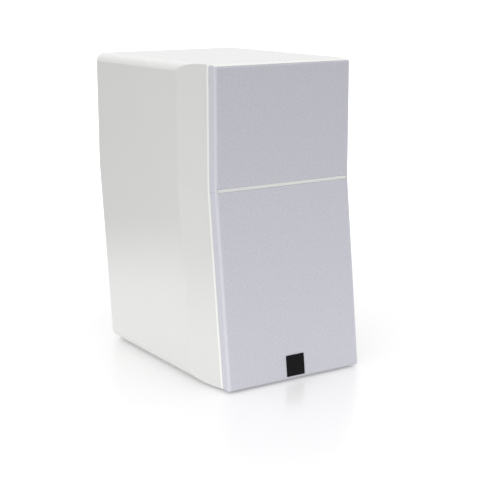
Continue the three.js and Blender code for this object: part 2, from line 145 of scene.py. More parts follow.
def grid(points: np.ndarray, wrap_rows: bool = False, wrap_columns: bool = True,
         capped: bool = False) -> Surface:
    """Joins a rows by columns by 3 array of points into quads between neighbours.

    Args:
        points: the array of points.
        wrap_rows: whether the last row joins the first.
        wrap_columns: whether the last column joins the first.
        capped: whether the first and last rows are closed with one flat face each.

    Returns:
        The surface.
    """
    rows, columns = points.shape[:2]
    number = np.arange(rows * columns).reshape(rows, columns)
    ends = [number[0].tolist(), number[-1, ::-1].tolist()] if capped else []
    if wrap_rows:
        number = np.vstack([number, number[:1]])
    if wrap_columns:
        number = np.hstack([number, number[:, :1]])
    quads = np.stack([number[:-1, :-1], number[1:, :-1], number[1:, 1:], number[:-1, 1:]], axis=-1)
    return Surface(points.reshape(-1, 3), quads.reshape(-1, 4), ends)


def lathe(profile: np.ndarray, sides: int = 96) -> Surface:
    """Turns a profile about Z: a point (r, z) becomes the circle (r cos a, r sin a, z).

    Args:
        profile: points (radius, height). It runs from pole to pole when its ends have radius 0, and is a
            closed loop otherwise.
        sides: how many steps the turn takes.

    Returns:
        A closed surface with its faces outward.
    """
    angle = np.linspace(0, 2 * np.pi, sides, endpoint=False)
    poles = profile[0, 0] < NEARLY and profile[-1, 0] < NEARLY
    rows = profile[1:-1] if poles else profile
    circles = np.stack([
        np.outer(rows[:, 0], np.cos(angle)),
        np.outer(rows[:, 0], np.sin(angle)),
        np.repeat(rows[:, 1:], sides, axis=1),
    ], axis=-1)
    made = grid(circles, wrap_rows=not poles)
    if poles:
        count = len(made.points)
        first, last = np.arange(sides), np.arange(sides) + count - sides
        fans = np.concatenate([
            np.stack([np.full(sides, count), first, np.roll(first, -1)], axis=1),
            np.stack([np.full(sides, count + 1), np.roll(last, -1), last], axis=1),
        ])
        tips = np.array([[0, 0, profile[0, 1]], [0, 0, profile[-1, 1]]])
        made = Surface(np.concatenate([made.points, tips]), made.quads, fans.tolist())
    return made.outward()


def eased(corners: Sequence[Sequence[float]], radius: float, steps: int = 4,
          closed: bool = True) -> np.ndarray:
    """Rounds the corners of an outline.

    Each corner p becomes the curve (1-t)^2 a + 2t(1-t) p + t^2 b, with a and b on its two edges at the
    radius from p, or nearer where an edge is short.

    Args:
        corners: the outline's corners, as pairs.
        radius: how far from a corner the rounding starts.
        steps: points on each rounding.
        closed: whether the last corner joins the first. An open outline keeps its two ends.

    Returns:
        The rounded outline as an array of pairs.
    """
    p = np.array(corners, float)
    back, ahead = np.roll(p, 1, axis=0) - p, np.roll(p, -1, axis=0) - p
    length = np.stack([np.linalg.norm(back, axis=1), np.linalg.norm(ahead, axis=1)])
    reach = np.minimum(radius, SHORT_EDGE * length)
    a = p + back / length[0][:, None] * reach[0][:, None]
    b = p + ahead / length[1][:, None] * reach[1][:, None]
    t = np.linspace(0, 1, steps)[None, :, None]
    curve = (1 - t) ** 2 * a[:, None] + 2 * t * (1 - t) * p[:, None] + t**2 * b[:, None]
    if closed:
        return curve.reshape(-1, 2)
    return np.concatenate([p[:1], curve[1:-1].reshape(-1, 2), p[-1:]])


def turned(profile: Sequence[Sequence[float]], ease: float, steps: int = 4, sides: int = 96) -> Surface:
    """Rounds a profile's corners and turns it about Z.

    Args:
        profile: corners (radius, height), from pole to pole or round a closed loop.
        ease: how far from a corner its rounding starts.
        steps: points on each rounding.
        sides: how many steps the turn takes.

    Returns:
        A closed surface with its faces outward.
    """
    poles = profile[0][0] == 0 and profile[-1][0] == 0
    return lathe(eased(profile, ease, steps, closed=not poles), sides)


def circle(radius: float, count: int = 48) -> np.ndarray:
    """Returns a circle's points, (r cos a, r sin a)."""
    angle = np.linspace(0, 2 * np.pi, count, endpoint=False)
    return radius * np.stack([np.cos(angle), np.sin(angle)], axis=1)


def hexagon(across: float, count: int = 48) -> np.ndarray:
    """Draws a hexagon: a circle whose radius is half the width over the cosine from a flat.

    Args:
        across: its width across the flats.
        count: how many points.

    Returns:
        Its points.
    """
    angle = np.linspace(0, 2 * np.pi, count, endpoint=False)
    off = (angle + np.pi / 6) % (np.pi / 3) - np.pi / 6
    return circle(1, count) * (across / 2 / np.cos(off))[:, None]


def fluted(radius: float, depth: float, flutes: int, count: int = 192) -> np.ndarray:
    """Returns a grip's outline: a circle that dips by the depth times a cosine to the power 6."""
    angle = np.linspace(0, 2 * np.pi, count, endpoint=False)
    return circle(1, count) * (radius - depth * np.cos(angle * flutes / 2) ** 6)[:, None]


def rectangle(width: float, height: float, radius: float, steps: int = 8) -> np.ndarray:
    """Returns a centred rectangle whose corners are rounded."""
    x, y = width / 2, height / 2
    return eased([(x, -y), (x, y), (-x, y), (-x, -y)], radius, steps)


def drawn_in(outline: np.ndarray, inset: float) -> np.ndarray:
    """Moves an anticlockwise outline inward, along the normal of the line through its neighbours.

    Args:
        outline: the outline's points.
        inset: how far each point moves.

    Returns:
        The smaller outline.
    """
    along = np.roll(outline, -1, axis=0) - np.roll(outline, 1, axis=0)
    normal = np.stack([along[:, 1], -along[:, 0]], axis=1)
    return outline - inset * normal / np.linalg.norm(normal, axis=1)[:, None]


def stacked(rows: Sequence[tuple[np.ndarray, float]], hollow: bool = False) -> Surface:
    """Lofts outlines with equal numbers of points, each lying flat at its own height.

    Args:
        rows: pairs of an outline and its height.
        hollow: whether the last outline joins the first, as round a hole; otherwise both ends are capped.

    Returns:
        A closed surface with its faces outward.
    """
    levels = [np.column_stack([outline, np.full(len(outline), height)]) for outline, height in rows]
    return grid(np.stack(levels), wrap_rows=hollow, capped=not hollow).outward()


def slab(outline: np.ndarray, low: float, high: float, edge: float, steps: int = 4) -> Surface:
    """A plate with rounded edges: the outline is drawn in by edge (1 - cos a) where it turns over.

    Args:
        outline: the plate's outline, anticlockwise.
        low: its lower face.
        high: its upper face.
        edge: the radius of its edges.
        steps: rows on each edge.

    Returns:
        The plate.
    """
    a = np.linspace(0, np.pi / 2, steps)
    inset, rise = edge * (1 - np.cos(a)), edge * (1 - np.sin(a))
    lower = [(drawn_in(outline, i), low + r) for i, r in zip(inset[::-1], rise[::-1])]
    upper = [(drawn_in(outline, i), high - r) for i, r in zip(inset, rise)]
    return stacked(lower + upper)


# ---- the cabinet's shape and the places of its parts --------------------------------------------


@dataclass(frozen=True)
class BentBox:
    """The shape that the cabinet's pieces share: a box with side facets, whose lower half leans forward."""

    front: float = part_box("tweeter_waveguide")[0][1] / MM
    rear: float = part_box("top_panel")[1][1] / MM
    top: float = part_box("top_panel")[1][2] / MM
    base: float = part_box("bottom_panel")[0][2] / MM
    half_width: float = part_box("side_right")[1][0] / MM
    front_half: float = 95.0
    facet_depth: float = 50.5
    edge_radius: float = 11.0
    bend: float = 236.0
    rake: float = np.radians(6.5)
    board: float = 15.0
    baffle: float = 20.0
    least_cut: float = np.radians(3.4)
    most_cut: float = np.radians(88)
    side_steps: int = 5
    cut_steps: int = 3
    arc_steps: int = 13
    end_steps: int = 3

    @property
    def facet_slope(self) -> float:
        """How far the half width grows for each millimetre back from the front."""
        return (self.half_width - self.front_half) / self.facet_depth

    def lean(self, z: float | np.ndarray) -> float | np.ndarray:
        """Returns how far forward the box has moved at a height."""
        return np.maximum(0.0, self.bend - z) * np.tan(self.rake)

    def bent(self, surface: Surface) -> Surface:
        """Leans the lower half of an upright surface forward with the box.

        Args:
            surface: the upright surface.

        Returns:
            The bent surface.
        """
        points = surface.points.copy()
        points[:, 1] -= self.lean(points[:, 2])
        return Surface(points, surface.quads, surface.faces)

    def quarter(self, half: float, reach: float, radius: float, soft: float) -> np.ndarray:
        """One corner of a section, from the middle of the side to the middle of the end.

        It goes up the side, round a small arc where the facet cuts the big one, round what is left of the
        big arc, and along the end. Where the facet has cut past the big arc only the small one is left.

        Args:
            half: the half width here.
            reach: how far the end is from the bend.
            radius: the big arc's radius.
            soft: the small arc's radius.

        Returns:
            Pairs of x and distance from the bend.
        """
        core = radius - soft
        centre = min(self.half_width - self.edge_radius, half - soft - core * np.cos(self.most_cut))
        start = np.arccos(np.clip((half - soft - centre) / core, 0, np.cos(self.least_cut)))
        pivot = np.array([centre + core * np.cos(start), reach - radius + core * np.sin(start)])
        rise = np.linspace(0, pivot[1], self.side_steps + 1)[:-1]
        up = np.stack([np.full(self.side_steps, pivot[0] + soft), rise], axis=1)
        small = np.linspace(0, start, self.cut_steps + 1)
        big = np.linspace(start, np.pi / 2, self.arc_steps + 1)[1:]
        fan = pivot + soft * np.stack([np.cos(small), np.sin(small)], axis=1)
        arc = np.stack([centre + radius * np.cos(big), reach - radius + radius * np.sin(big)], axis=1)
        inward = np.linspace(centre, 0, self.end_steps + 1)[1:]
        flat = np.stack([inward, np.full(self.end_steps, reach)], axis=1)
        return np.concatenate([up, fan, arc, flat])

    def section(self, half: float, low: float, high: float, radius: float, soft: float) -> np.ndarray:
        """The whole outline across the box at one depth, anticlockwise from the right side at the bend.

        Args:
            half: the half width.
            low: the bottom.
            high: the top.
            radius: the radius of the long edges.
            soft: the radius where a facet cuts them.

        Returns:
            Pairs of x and z.
        """
        upper = self.quarter(half, high - self.bend, radius, soft)
        lower = self.quarter(half, self.bend - low, radius, soft) * [1, -1]
        mirror = np.array([-1, 1])
        loop = [upper, (upper * mirror)[::-1][1:], (lower * mirror)[1:], lower[::-1][1:-1]]
        return np.concatenate(loop) + [0, self.bend]

    def solid(self, stations: Sequence[tuple[float, float, float, float, float]],
              soft: float = 0.8) -> Surface:
        """Lofts sections at depths from back to front, closes both ends above and below the bend.

        Args:
            stations: depth, half width, bottom, top and edge radius of each section.
            soft: the radius where a facet cuts the long edges.

        Returns:
            The bent solid.
        """
        outlines = [self.section(half, low, high, radius, soft) for _, half, low, high, radius in stations]
        rows = [np.column_stack([o[:, 0], np.full(len(o), s[0]), o[:, 1]])
                for o, s in zip(outlines, stations)]
        made = grid(np.stack(rows), capped=True)
        middle = len(outlines[0]) // 2
        ends = [part for f in made.faces for part in (self.split(f, middle))]
        return self.bent(Surface(made.points, made.quads, ends)).outward()

    @staticmethod
    def split(face: list[int], middle: int) -> list[list[int]]:
        """Cuts an end face in two along the bend.

        Args:
            face: the face's points, which begin on the bend.
            middle: how many points later the face meets the bend again.

        Returns:
            The two halves.
        """
        turn = face.index(min(face))
        ordered = face[turn:] + face[:turn]
        return [ordered[:middle + 1], ordered[middle:] + ordered[:1]]


BOX = BentBox()


@dataclass(frozen=True)
class Seat:
    """A round part's own frame, whose +Z points out of the cabinet."""

    y: float
    z: float
    tilt: float

    @property
    def matrix(self) -> Matrix:
        """The turn and move from the part's frame to the cabinet's, in millimetres."""
        return Matrix.Translation((0, self.y, self.z)) @ Matrix.Rotation(self.tilt, 4, "X")


def on_front(z: float, ahead: float = 0.0) -> Seat:
    """Returns a seat on the front, or ahead of it, at a height: square to the half of it that is there."""
    rake = BOX.rake if z < BOX.bend else 0.0
    return Seat(BOX.front - ahead - float(BOX.lean(z)), z, np.pi / 2 - rake)


def on_rear(z: float) -> Seat:
    """Returns a seat on the rear at a height: square to the half of it that is there."""
    rake = BOX.rake if z < BOX.bend else 0.0
    return Seat(BOX.rear - float(BOX.lean(z)), z, -np.pi / 2 - rake)


class Place(Enum):
    """Where the parts that have a frame of their own sit."""

    WOOFER = on_front(118.0)
    TWEETER = on_front(307.0)
    PORT = on_rear(296.0)
    TERMINALS = on_rear(66.0)


# ---- finishes ------------------------------------------------------------------------------------


class Tree:
    """Adds nodes to a node tree in few words."""

    def __init__(self, tree: bpy.types.NodeTree) -> None:
        """Keeps the tree that nodes are added to."""
        self.tree = tree

    def add(self, kind: str, inputs: dict[str | int, Any] | None = None, **settings: Any) -> bpy.types.Node:
        """Adds one node.

        Args:
            kind: the node's type without its common prefix.
            inputs: for each input, a value or the output socket that feeds it.
            settings: the node's own properties.

        Returns:
            The node.
        """
        prefix = "" if kind.startswith("NodeGroup") else "ShaderNode"
        node = self.tree.nodes.new(prefix + kind)
        for name, value in settings.items():
            setattr(node, name, value)
        for name, value in (inputs or {}).items():
            if isinstance(value, Socket):
                self.tree.links.new(value, node.inputs[name])
            else:
                node.inputs[name].default_value = value
        return node

    def math(self, operation: str, *values: Any) -> Socket:
        """Returns the result of a math operation on sockets or numbers."""
        return self.add("Math", dict(enumerate(values)), operation=operation).outputs[0]

    def between(self, factor: Socket, a: Sequence[float], b: Sequence[float]) -> Socket:
        """Mixes two colours.

        Args:
            factor: how much of the second colour, from 0 to 1.
            a: the first colour.
            b: the second colour.

        Returns:
            The mixed colour.
        """
        mix = self.add("Mix", data_type="RGBA")
        self.tree.links.new(factor, mix.inputs[0])
        mix.inputs[6].default_value = (*a, 1)
        mix.inputs[7].default_value = (*b, 1)
        return mix.outputs[2]

    def within(self, value: Socket, low: float, high: float) -> Socket:
        """Returns a 0 to 1 value carried over to a range."""
        return self.add("MapRange", {0: value, 3: low, 4: high}).outputs[0]


def new_group(name: str, inputs: dict[str, str], outputs: dict[str, str]) -> tuple[Tree, Any, Any]:
    """Makes an empty shader node group.

    Args:
        name: the group's name.
        inputs: socket kind by input name.
        outputs: socket kind by output name.

    Returns:
        The group's tree, its input node's outputs and its output node.
    """
    group = bpy.data.node_groups.new(name, "ShaderNodeTree")
    for direction, sockets in (("INPUT", inputs), ("OUTPUT", outputs)):
        for label, kind in sockets.items():
            group.interface.new_socket(label, in_out=direction, socket_type=f"NodeSocket{kind}")
    tree = Tree(group)
    return tree, tree.add("NodeGroupInput").outputs, tree.add("NodeGroupOutput")


def grain_group() -> bpy.types.NodeTree:
    """Makes the grain effect: broad mottling and fine pits, from two sizes of noise.

    Returns:
        The group. Mottle is broad and Height is fine, both from 0 to 1.
    """
    broad_share, low, high = 0.06, 0.3, 0.7
    tree, given, out = new_group("Grain", {"Vector": "Vector", "Scale": "Float"},
                                 {"Mottle": "Float", "Height": "Float"})
    broad = tree.add("TexNoise", {"Vector": given["Vector"], "Detail": 3.0,
                                  "Scale": tree.math("MULTIPLY", given["Scale"], broad_share)})
    fine = tree.add("TexNoise", {"Vector": given["Vector"], "Scale": given["Scale"], "Detail": 2.0})
    spread = tree.add("MapRange", {0: broad.outputs[0], 1: low, 2: high})
    tree.tree.links.new(spread.outputs[0], out.inputs["Mottle"])
    tree.tree.links.new(fine.outputs[0], out.inputs["Height"])
    return tree.tree


def weave_group() -> bpy.types.NodeTree:
    """Makes the weave effect: warp and weft are ridges |sin|, and each crossing shows one of them.

    Returns:
        The group. Height is a thread's height, from 0 in the holes to 1 on a crown.
    """
    roundness, crossing, over = 0.6, 0.65, 0.35
    tree, given, out = new_group("Weave", {"Vector": "Vector", "Threads": "Float"}, {"Height": "Float"})
    split = tree.add("SeparateXYZ", {0: given["Vector"]}).outputs
    u, v = (tree.math("MULTIPLY", split[i], given["Threads"]) for i in (0, 1))
    waves = [tree.math("SINE", tree.math("MULTIPLY", a, np.pi)) for a in (u, v)]
    ridges = [tree.math("POWER", tree.math("ABSOLUTE", wave), roundness) for wave in waves]
    squares = tree.math("ADD", tree.math("FLOOR", u), tree.math("FLOOR", v))
    parity = tree.math("FLOORED_MODULO", squares, 2.0)
    crown = tree.math("MULTIPLY", ridges[0], ridges[1])
    warp = tree.math("MULTIPLY", tree.math("MULTIPLY", ridges[0], parity), over)
    weft = tree.math("MULTIPLY", tree.math("MULTIPLY", ridges[1], tree.math("SUBTRACT", 1.0, parity)), over)
    height = tree.math("ADD", tree.math("MULTIPLY", crown, crossing), tree.math("ADD", warp, weft))
    tree.tree.links.new(height, out.inputs["Height"])
    return tree.tree


GRAIN, WEAVE = grain_group(), weave_group()


class Sheen(Enum):
    """How a surface's polish is finished."""

    BARE = 0.0
    COATED = 1.0


@dataclass(frozen=True)
class Finish:
    """A mottled, finely pitted surface: lacquer, moulding, rubber, board and most metals.

    The slot is the record's material slot, which is empty where only whole CAD nodes or the insides of
    cuts have the finish.
    """

    name: str
    slot: str
    colour: Triple
    roughness: float
    metallic: float = 0.0
    mottle: float = 0.06
    uneven: float = 0.06
    scale: float = 900.0
    bump: float = 0.15
    depth: float = 0.05
    specular: float = 0.5
    sheen: Sheen = Sheen.BARE
    coat_roughness: float = 0.03

    def start(self) -> tuple[bpy.types.Material, Tree, bpy.types.Node]:
        """Makes an empty material.

        Returns:
            The material, its tree and its Principled shader.
        """
        made = bpy.data.materials.new(self.name)
        made.use_nodes = True
        shader = made.node_tree.nodes["Principled BSDF"]
        shader.inputs["Metallic"].default_value = self.metallic
        shader.inputs["Specular IOR Level"].default_value = self.specular
        shader.inputs["Coat Weight"].default_value = self.sheen.value
        shader.inputs["Coat Roughness"].default_value = self.coat_roughness
        return made, Tree(made.node_tree), shader

    def position(self, tree: Tree) -> Socket:
        """Returns where a point is on the piece."""
        return tree.add("TexCoord").outputs["Object"]

    def height(self, tree: Tree, place: Socket) -> Socket | None:
        """Returns the height of the finish's own pattern, which a plain finish doesn't have."""
        return None

    def tint(self, tree: Tree, mottle: Socket,
             height: Socket | None) -> Socket:
        """Returns the colour: the base colour, a little darker in the mottling's hollows."""
        dark = tuple(c * (1 - self.mottle) for c in self.colour)
        return tree.between(mottle, dark, self.colour)

    def material(self) -> bpy.types.Material:
        """Builds the material once, and gives the same one after that.

        Returns:
            The material.
        """
        known = bpy.data.materials.get(self.name)
        if known is not None:
            return known
        made, tree, shader = self.start()
        place = self.position(tree)
        grain = tree.add("Group", node_tree=GRAIN)
        tree.tree.links.new(place, grain.inputs["Vector"])
        grain.inputs["Scale"].default_value = self.scale
        own = self.height(tree, place)
        links = tree.tree.links
        links.new(self.tint(tree, grain.outputs["Mottle"], own), shader.inputs["Base Color"])
        rough = tree.within(grain.outputs["Mottle"], self.roughness * (1 + self.uneven),
                            self.roughness * (1 - self.uneven))
        links.new(rough, shader.inputs["Roughness"])
        bump = tree.add("Bump", {"Strength": self.bump, "Distance": self.depth * MM})
        links.new(own if own is not None else grain.outputs["Height"], bump.inputs["Height"])
        links.new(bump.outputs[0], shader.inputs["Normal"])
        return made


@dataclass(frozen=True)
class Woven(Finish):
    """Cloth: threads cross on the piece's own flat layout, with darker holes between them as painted shade.
    """

    threads: float = 1100.0
    # the colour in the holes between the threads: painted shade
    holes: Triple = (0.3, 0.3, 0.32)
    fuzz: float = 0.35
    fuzz_roughness: float = 0.5
    # fold: where the painted highlight on the cloth's ridge lies; closed: its colour as a share of the thread
    # colour
    fold: Pair = (0.0918, 0.0962)
    closed: float = 0.88

    def start(self) -> tuple[bpy.types.Material, Tree, bpy.types.Node]:
        """Makes an empty material with a cloth's sheen.

        Returns:
            The material, its tree and its Principled shader.
        """
        made, tree, shader = super().start()
        shader.inputs["Sheen Weight"].default_value = self.fuzz
        shader.inputs["Sheen Roughness"].default_value = self.fuzz_roughness
        return made, tree, shader

    def position(self, tree: Tree) -> Socket:
        """Returns where a point is on the flat cloth."""
        return tree.add("UVMap", uv_map="Flat").outputs[0]

    def height(self, tree: Tree, place: Socket) -> Socket | None:
        """Makes the height of the threads.

        Args:
            tree: the material's tree.
            place: where a point is on the flat cloth.

        Returns:
            The height.
        """
        weave = tree.add("Group", node_tree=WEAVE)
        tree.tree.links.new(place, weave.inputs["Vector"])
        weave.inputs["Threads"].default_value = self.threads
        return weave.outputs["Height"]

    def tint(self, tree: Tree, mottle: Socket,
             height: Socket | None) -> Socket:
        """Makes the thread colour on the crowns and the darker hole colour between them, which is painted
        shade.

        Where the cloth is stretched over the frame's edge, between the fold's two distances from the middle
        of the flat cloth, the weave is left out and it is evenly pale: a painted highlight along the ridge.

        Args:
            tree: the material's tree.
            mottle: the slubs' value, from 0 to 1.
            height: the threads' height.

        Returns:
            The colour.
        """
        slub = tree.between(mottle, tuple(c * (1 - self.mottle) for c in self.colour), self.colour)
        # painted shade: darker towards the holes between the threads
        woven = tree.add("Mix", {0: height, 6: (*self.holes, 1), 7: slub}, data_type="RGBA").outputs[2]
        across = tree.math("ABSOLUTE", tree.add("SeparateXYZ", {0: self.position(tree)}).outputs[0])
        start, end = self.fold
        off = tree.math("ABSOLUTE", tree.math("SUBTRACT", across, (start + end) / 2))
        here = tree.add("MapRange", {0: off, 1: (end - start) / 2, 2: (end - start) / 4})
        # painted highlight along the ridge where the cloth turns over the frame
        pale = tuple(c * self.closed for c in self.colour)
        return tree.add("Mix", {0: here.outputs[0], 6: woven, 7: (*pale, 1)}, data_type="RGBA").outputs[2]


@dataclass(frozen=True)
class EdgeHighlighted(Finish):
    """Lacquer with a painted highlight: it is paler along the two upright edges of the front.

    An edge is where both the distance from the front's plane, which leans below the bend, and the
    distance in from the front's half width are small.
    """

    # how much paler the painted highlight on the front's upright edges is
    highlight_gain: float = 1.24
    palest: float = 0.95
    reach: float = 0.0033
    full_share: float = 0.7

    def tint(self, tree: Tree, mottle: Socket,
             height: Socket | None) -> Socket:
        """Makes the mottled colour, or a paler one on the edges as a painted highlight.

        Args:
            tree: the material's tree.
            mottle: the mottling, from 0 to 1.
            height: not used here.

        Returns:
            The colour.
        """
        plain = super().tint(tree, mottle, height)
        x, y, z = tree.add("SeparateXYZ", {0: self.position(tree)}).outputs
        below = tree.math("MAXIMUM", tree.math("SUBTRACT", BOX.bend * MM, z), 0.0)
        face = tree.math("MULTIPLY_ADD", below, -float(np.tan(BOX.rake)), BOX.front * MM)
        behind = tree.math("ABSOLUTE", tree.math("SUBTRACT", y, face))
        inward = tree.math("SUBTRACT", BOX.front_half * MM, tree.math("ABSOLUTE", x))
        off = tree.math("MAXIMUM", behind, inward)
        here = tree.add("MapRange", {0: off, 1: self.reach, 2: self.reach * self.full_share})
        # painted highlight: the lacquer colour made paler along the front's upright edges
        pale = tuple(min(c * self.highlight_gain, self.palest) for c in self.colour)
        return tree.add("Mix", {0: here.outputs[0], 6: plain, 7: (*pale, 1)}, data_type="RGBA").outputs[2]


@dataclass(frozen=True)
class Wound(Finish):
    """Enamelled wire wound in layers: ridges in a sine of the height along the winding's axis."""

    turns: float = 1400.0
    # how dark the painted shade between the turns is, as a share of the wire colour
    gap_shade: float = 0.25

    def height(self, tree: Tree, place: Socket) -> Socket | None:
        """Makes the height of the turns of wire.

        Args:
            tree: the material's tree.
            place: where a point is on the piece.

        Returns:
            The height.
        """
        split = tree.add("SeparateXYZ", {0: place}).outputs
        wave = tree.math("SINE", tree.math("MULTIPLY", split[1], self.turns * 2 * np.pi))
        return tree.math("ABSOLUTE", wave)

    def tint(self, tree: Tree, mottle: Socket,
             height: Socket | None) -> Socket:
        """Returns the wire's colour, with painted shade in the grooves between its turns."""
        # painted shade in the grooves between the turns of wire
        return tree.between(height, tuple(c * self.gap_shade for c in self.colour), self.colour)


class Look:
    """The finishes that this loudspeaker has."""

    # the cabinet lacquer, with a painted highlight along the front's upright edges
    lacquer = EdgeHighlighted("Gloss lacquer", "cabinet_lacquer", (0.69, 0.69, 0.677), 0.1, mottle=0.012, uneven=0.15,
        scale=220, bump=0.02, depth=0.05, sheen=Sheen.COATED)
    fibreboard = Finish("Fibreboard", "", (0.42, 0.27, 0.15), 0.9, mottle=0.3, scale=1600, bump=0.5,
        depth=0.1)
    # grille cloth, with painted shade in its holes and a painted highlight along its folds
    cloth = Woven("Grille cloth", "grille_cloth", (0.71, 0.71, 0.778), 0.95, mottle=0.13, scale=6500,
        bump=0.35, depth=0.12, holes=(0.39, 0.39, 0.435), threads=1150)
    bar = Finish("Bar moulding", "bar_plastic", (0.76, 0.765, 0.745), 0.3, mottle=0.02, bump=0.05)
    badge = Finish("Badge moulding", "badge_plastic", (0.006, 0.005, 0.006), 0.34, mottle=0.2, bump=0.06,
        specular=0.1)
    moulding = Finish("Black moulding", "black_moulding", (0.018, 0.018, 0.02), 0.48, mottle=0.25, bump=0.3,
        depth=0.06)
    rubber = Finish("Foot rubber", "foot_rubber", (0.02, 0.02, 0.02), 0.8, mottle=0.4, bump=0.4)
    roll = Finish("Surround rubber", "surround_rubber", (0.015, 0.015, 0.016), 0.55, mottle=0.3, bump=0.12)
    gasket = Finish("Gasket", "gasket", (0.02, 0.02, 0.022), 0.75, mottle=0.3, bump=0.3)
    cast = Finish("Cast frame", "basket_metal", (0.035, 0.036, 0.038), 0.5, 0.5, mottle=0.2, bump=0.45,
        depth=0.08)
    cone = Finish("Cone metal", "cone_metal", (0.52, 0.525, 0.54), 0.36, 0.95, mottle=0.06, scale=2200,
        bump=0.1)
    dome = Finish("Dome metal", "dome_metal", (0.62, 0.63, 0.65), 0.24, 0.95, mottle=0.04, bump=0.03)
    steel = Finish("Plated steel", "steel", (0.42, 0.43, 0.44), 0.34, 0.95, mottle=0.15, bump=0.1)
    dark_steel = Finish("Blackened steel", "steel", (0.03, 0.03, 0.032), 0.36, 0.7, mottle=0.2, bump=0.1)
    ferrite = Finish("Ferrite", "ferrite", (0.03, 0.03, 0.032), 0.7, mottle=0.3, bump=0.4)
    brass = Finish("Gilt brass", "gilt_brass", (0.72, 0.49, 0.17), 0.22, 0.95, mottle=0.08, bump=0.04)
    red = Finish("Red grip", "red_knob", (0.42, 0.012, 0.016), 0.26, mottle=0.1, bump=0.05)
    black = Finish("Black grip", "black_knob", (0.012, 0.012, 0.013), 0.26, mottle=0.2, bump=0.05)
    spider = Finish("Spider cloth", "spider_cloth", (0.42, 0.25, 0.07), 0.9, mottle=0.2, scale=3000,
        bump=0.8, depth=0.15)
    copper = Wound("Copper winding", "copper", (0.5, 0.2, 0.09), 0.36, 0.85, bump=0.7, depth=0.3)
    board = Finish("Circuit board", "circuit_board", (0.02, 0.09, 0.04), 0.42, mottle=0.35, scale=500,
        bump=0.1)
    sleeve = Finish("Capacitor sleeve", "capacitor_sleeve", (0.035, 0.07, 0.2), 0.36, mottle=0.1, bump=0.06)
    ceramic = Finish("Ceramic", "circuit_board", (0.62, 0.6, 0.55), 0.85, mottle=0.1, bump=0.5, depth=0.1)
    cable = Finish("Cable sleeve", "", (0.22, 0.014, 0.014), 0.45, mottle=0.1, bump=0.05)
    wadding = Finish("Wadding", "wadding", (0.66, 0.66, 0.63), 1.0, mottle=0.25, scale=700, bump=1.0,
        depth=1.2)


# ---- making pieces -------------------------------------------------------------------------------


def as_mesh(name: str, surface: Surface, *looks: Finish) -> Thing:
    """Puts a surface into a new object at the origin, in metres.

    Args:
        name: the object's name.
        surface: its surface in millimetres.
        looks: its finishes, one for each material slot.

    Returns:
        The object.
    """
    mesh = bpy.data.meshes.new(name)
    mesh.from_pydata((surface.points * MM).tolist(), [], surface.quads.tolist() + surface.faces)
    mesh.update()
    for look in looks:
        mesh.materials.append(look.material())
    made = bpy.data.objects.new(name, mesh)
    bpy.context.scene.collection.objects.link(made)
    return made


def applied(made: Thing) -> None:
    """Puts what an object's modifiers make of its mesh in the mesh's place.

    Args:
        made: the object.
    """
    bpy.context.view_layer.update()
    shown = made.evaluated_get(bpy.context.evaluated_depsgraph_get())
    mesh = bpy.data.meshes.new_from_object(shown)
    made.modifiers.clear()
    made.data = mesh


def carved(made: Thing, cutters: Sequence[Thing]) -> None:
    """Cuts shapes out of an object, and lines each cut with the cutter's finish.

    Args:
        made: what is cut.
        cutters: the shapes to take away, which are removed afterwards.
    """
    for cutter in cutters:
        cut = made.modifiers.new("Cut", "BOOLEAN")
        cut.object = cutter
        cut.operation = "DIFFERENCE"
        cut.solver = "EXACT"
        cut.material_mode = "TRANSFER"
    applied(made)
    for cutter in cutters:
        bpy.data.objects.remove(cutter)


def points_of(mesh: bpy.types.Mesh) -> np.ndarray:
    """Reads a mesh's points.

    Args:
        mesh: the mesh.

    Returns:
        The points in metres, as rows of three.
    """
    points = np.empty(len(mesh.vertices) * 3)
    mesh.vertices.foreach_get("co", points)
    return points.reshape(-1, 3)


def smoothed(made: Thing, angle: float = 32.0) -> None:
    """Shades a piece smooth, but leaves sharp what turns by more than an angle, and the line of the bend.

    Args:
        made: the piece.
        angle: the angle in degrees.
    """
    mesh = made.data
    mesh.shade_smooth()
    mesh.set_sharp_from_angle(angle=np.radians(angle))
    on_bend = np.abs(points_of(mesh)[:, 2] / MM - BOX.bend) < ON_BEND
    ends = np.empty(len(mesh.edges) * 2, np.int32)
    mesh.edges.foreach_get("vertices", ends)
    sharp = mesh.attributes.get("sharp_edge") or mesh.attributes.new("sharp_edge", "BOOLEAN", "EDGE")
    marks = np.empty(len(mesh.edges), bool)
    sharp.data.foreach_get("value", marks)
    sharp.data.foreach_set("value", marks | on_bend[ends.reshape(-1, 2)].all(axis=1))
    even = made.modifiers.new("Even shading", "WEIGHTED_NORMAL")
    even.keep_sharp = True
    applied(made)


def piece(name: str, surface: Surface, look: Finish, body: str | None = "cabinet",
          stands_for: Sequence[str] = ()) -> Thing:
    """Makes one finished piece that rides on a body.

    Args:
        name: the piece's name.
        surface: its surface in millimetres.
        look: its finish.
        body: the body that it moves with, or None to leave it tied to no body.
        stands_for: the CAD nodes that it replaces.

    Returns:
        The piece's object.
    """
    made = as_mesh(name, surface, look)
    smoothed(made)
    settle(made, body, stands_for)
    return made


def settle(made: Thing, body: str | None, stands_for: Sequence[str] = ()) -> None:
    """Ties a finished object to its body and the nodes that it replaces.

    Args:
        made: the object.
        body: the body that it moves with, or None to leave it tied to no body.
        stands_for: the CAD nodes that it replaces.
    """
    if body is not None:
        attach(made, body)
    if stands_for:
        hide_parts(*stands_for)
    log.info("%s: %d faces", made.name, len(made.data.polygons))


def dress(node: str, look: Finish) -> None:
    """Gives a CAD node that stays its finish.

    Args:
        node: the node's name.
        look: its finish.
    """
    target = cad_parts[node]
    slots = target.material_slots
    if not slots:
        target.data.materials.append(look.material())
    for one in slots:
        one.link = "OBJECT"
        one.material = look.material()
    log.info("%s dressed in %s", node, look.name)


# ---- cabinet -------------------------------------------------------------------------------------


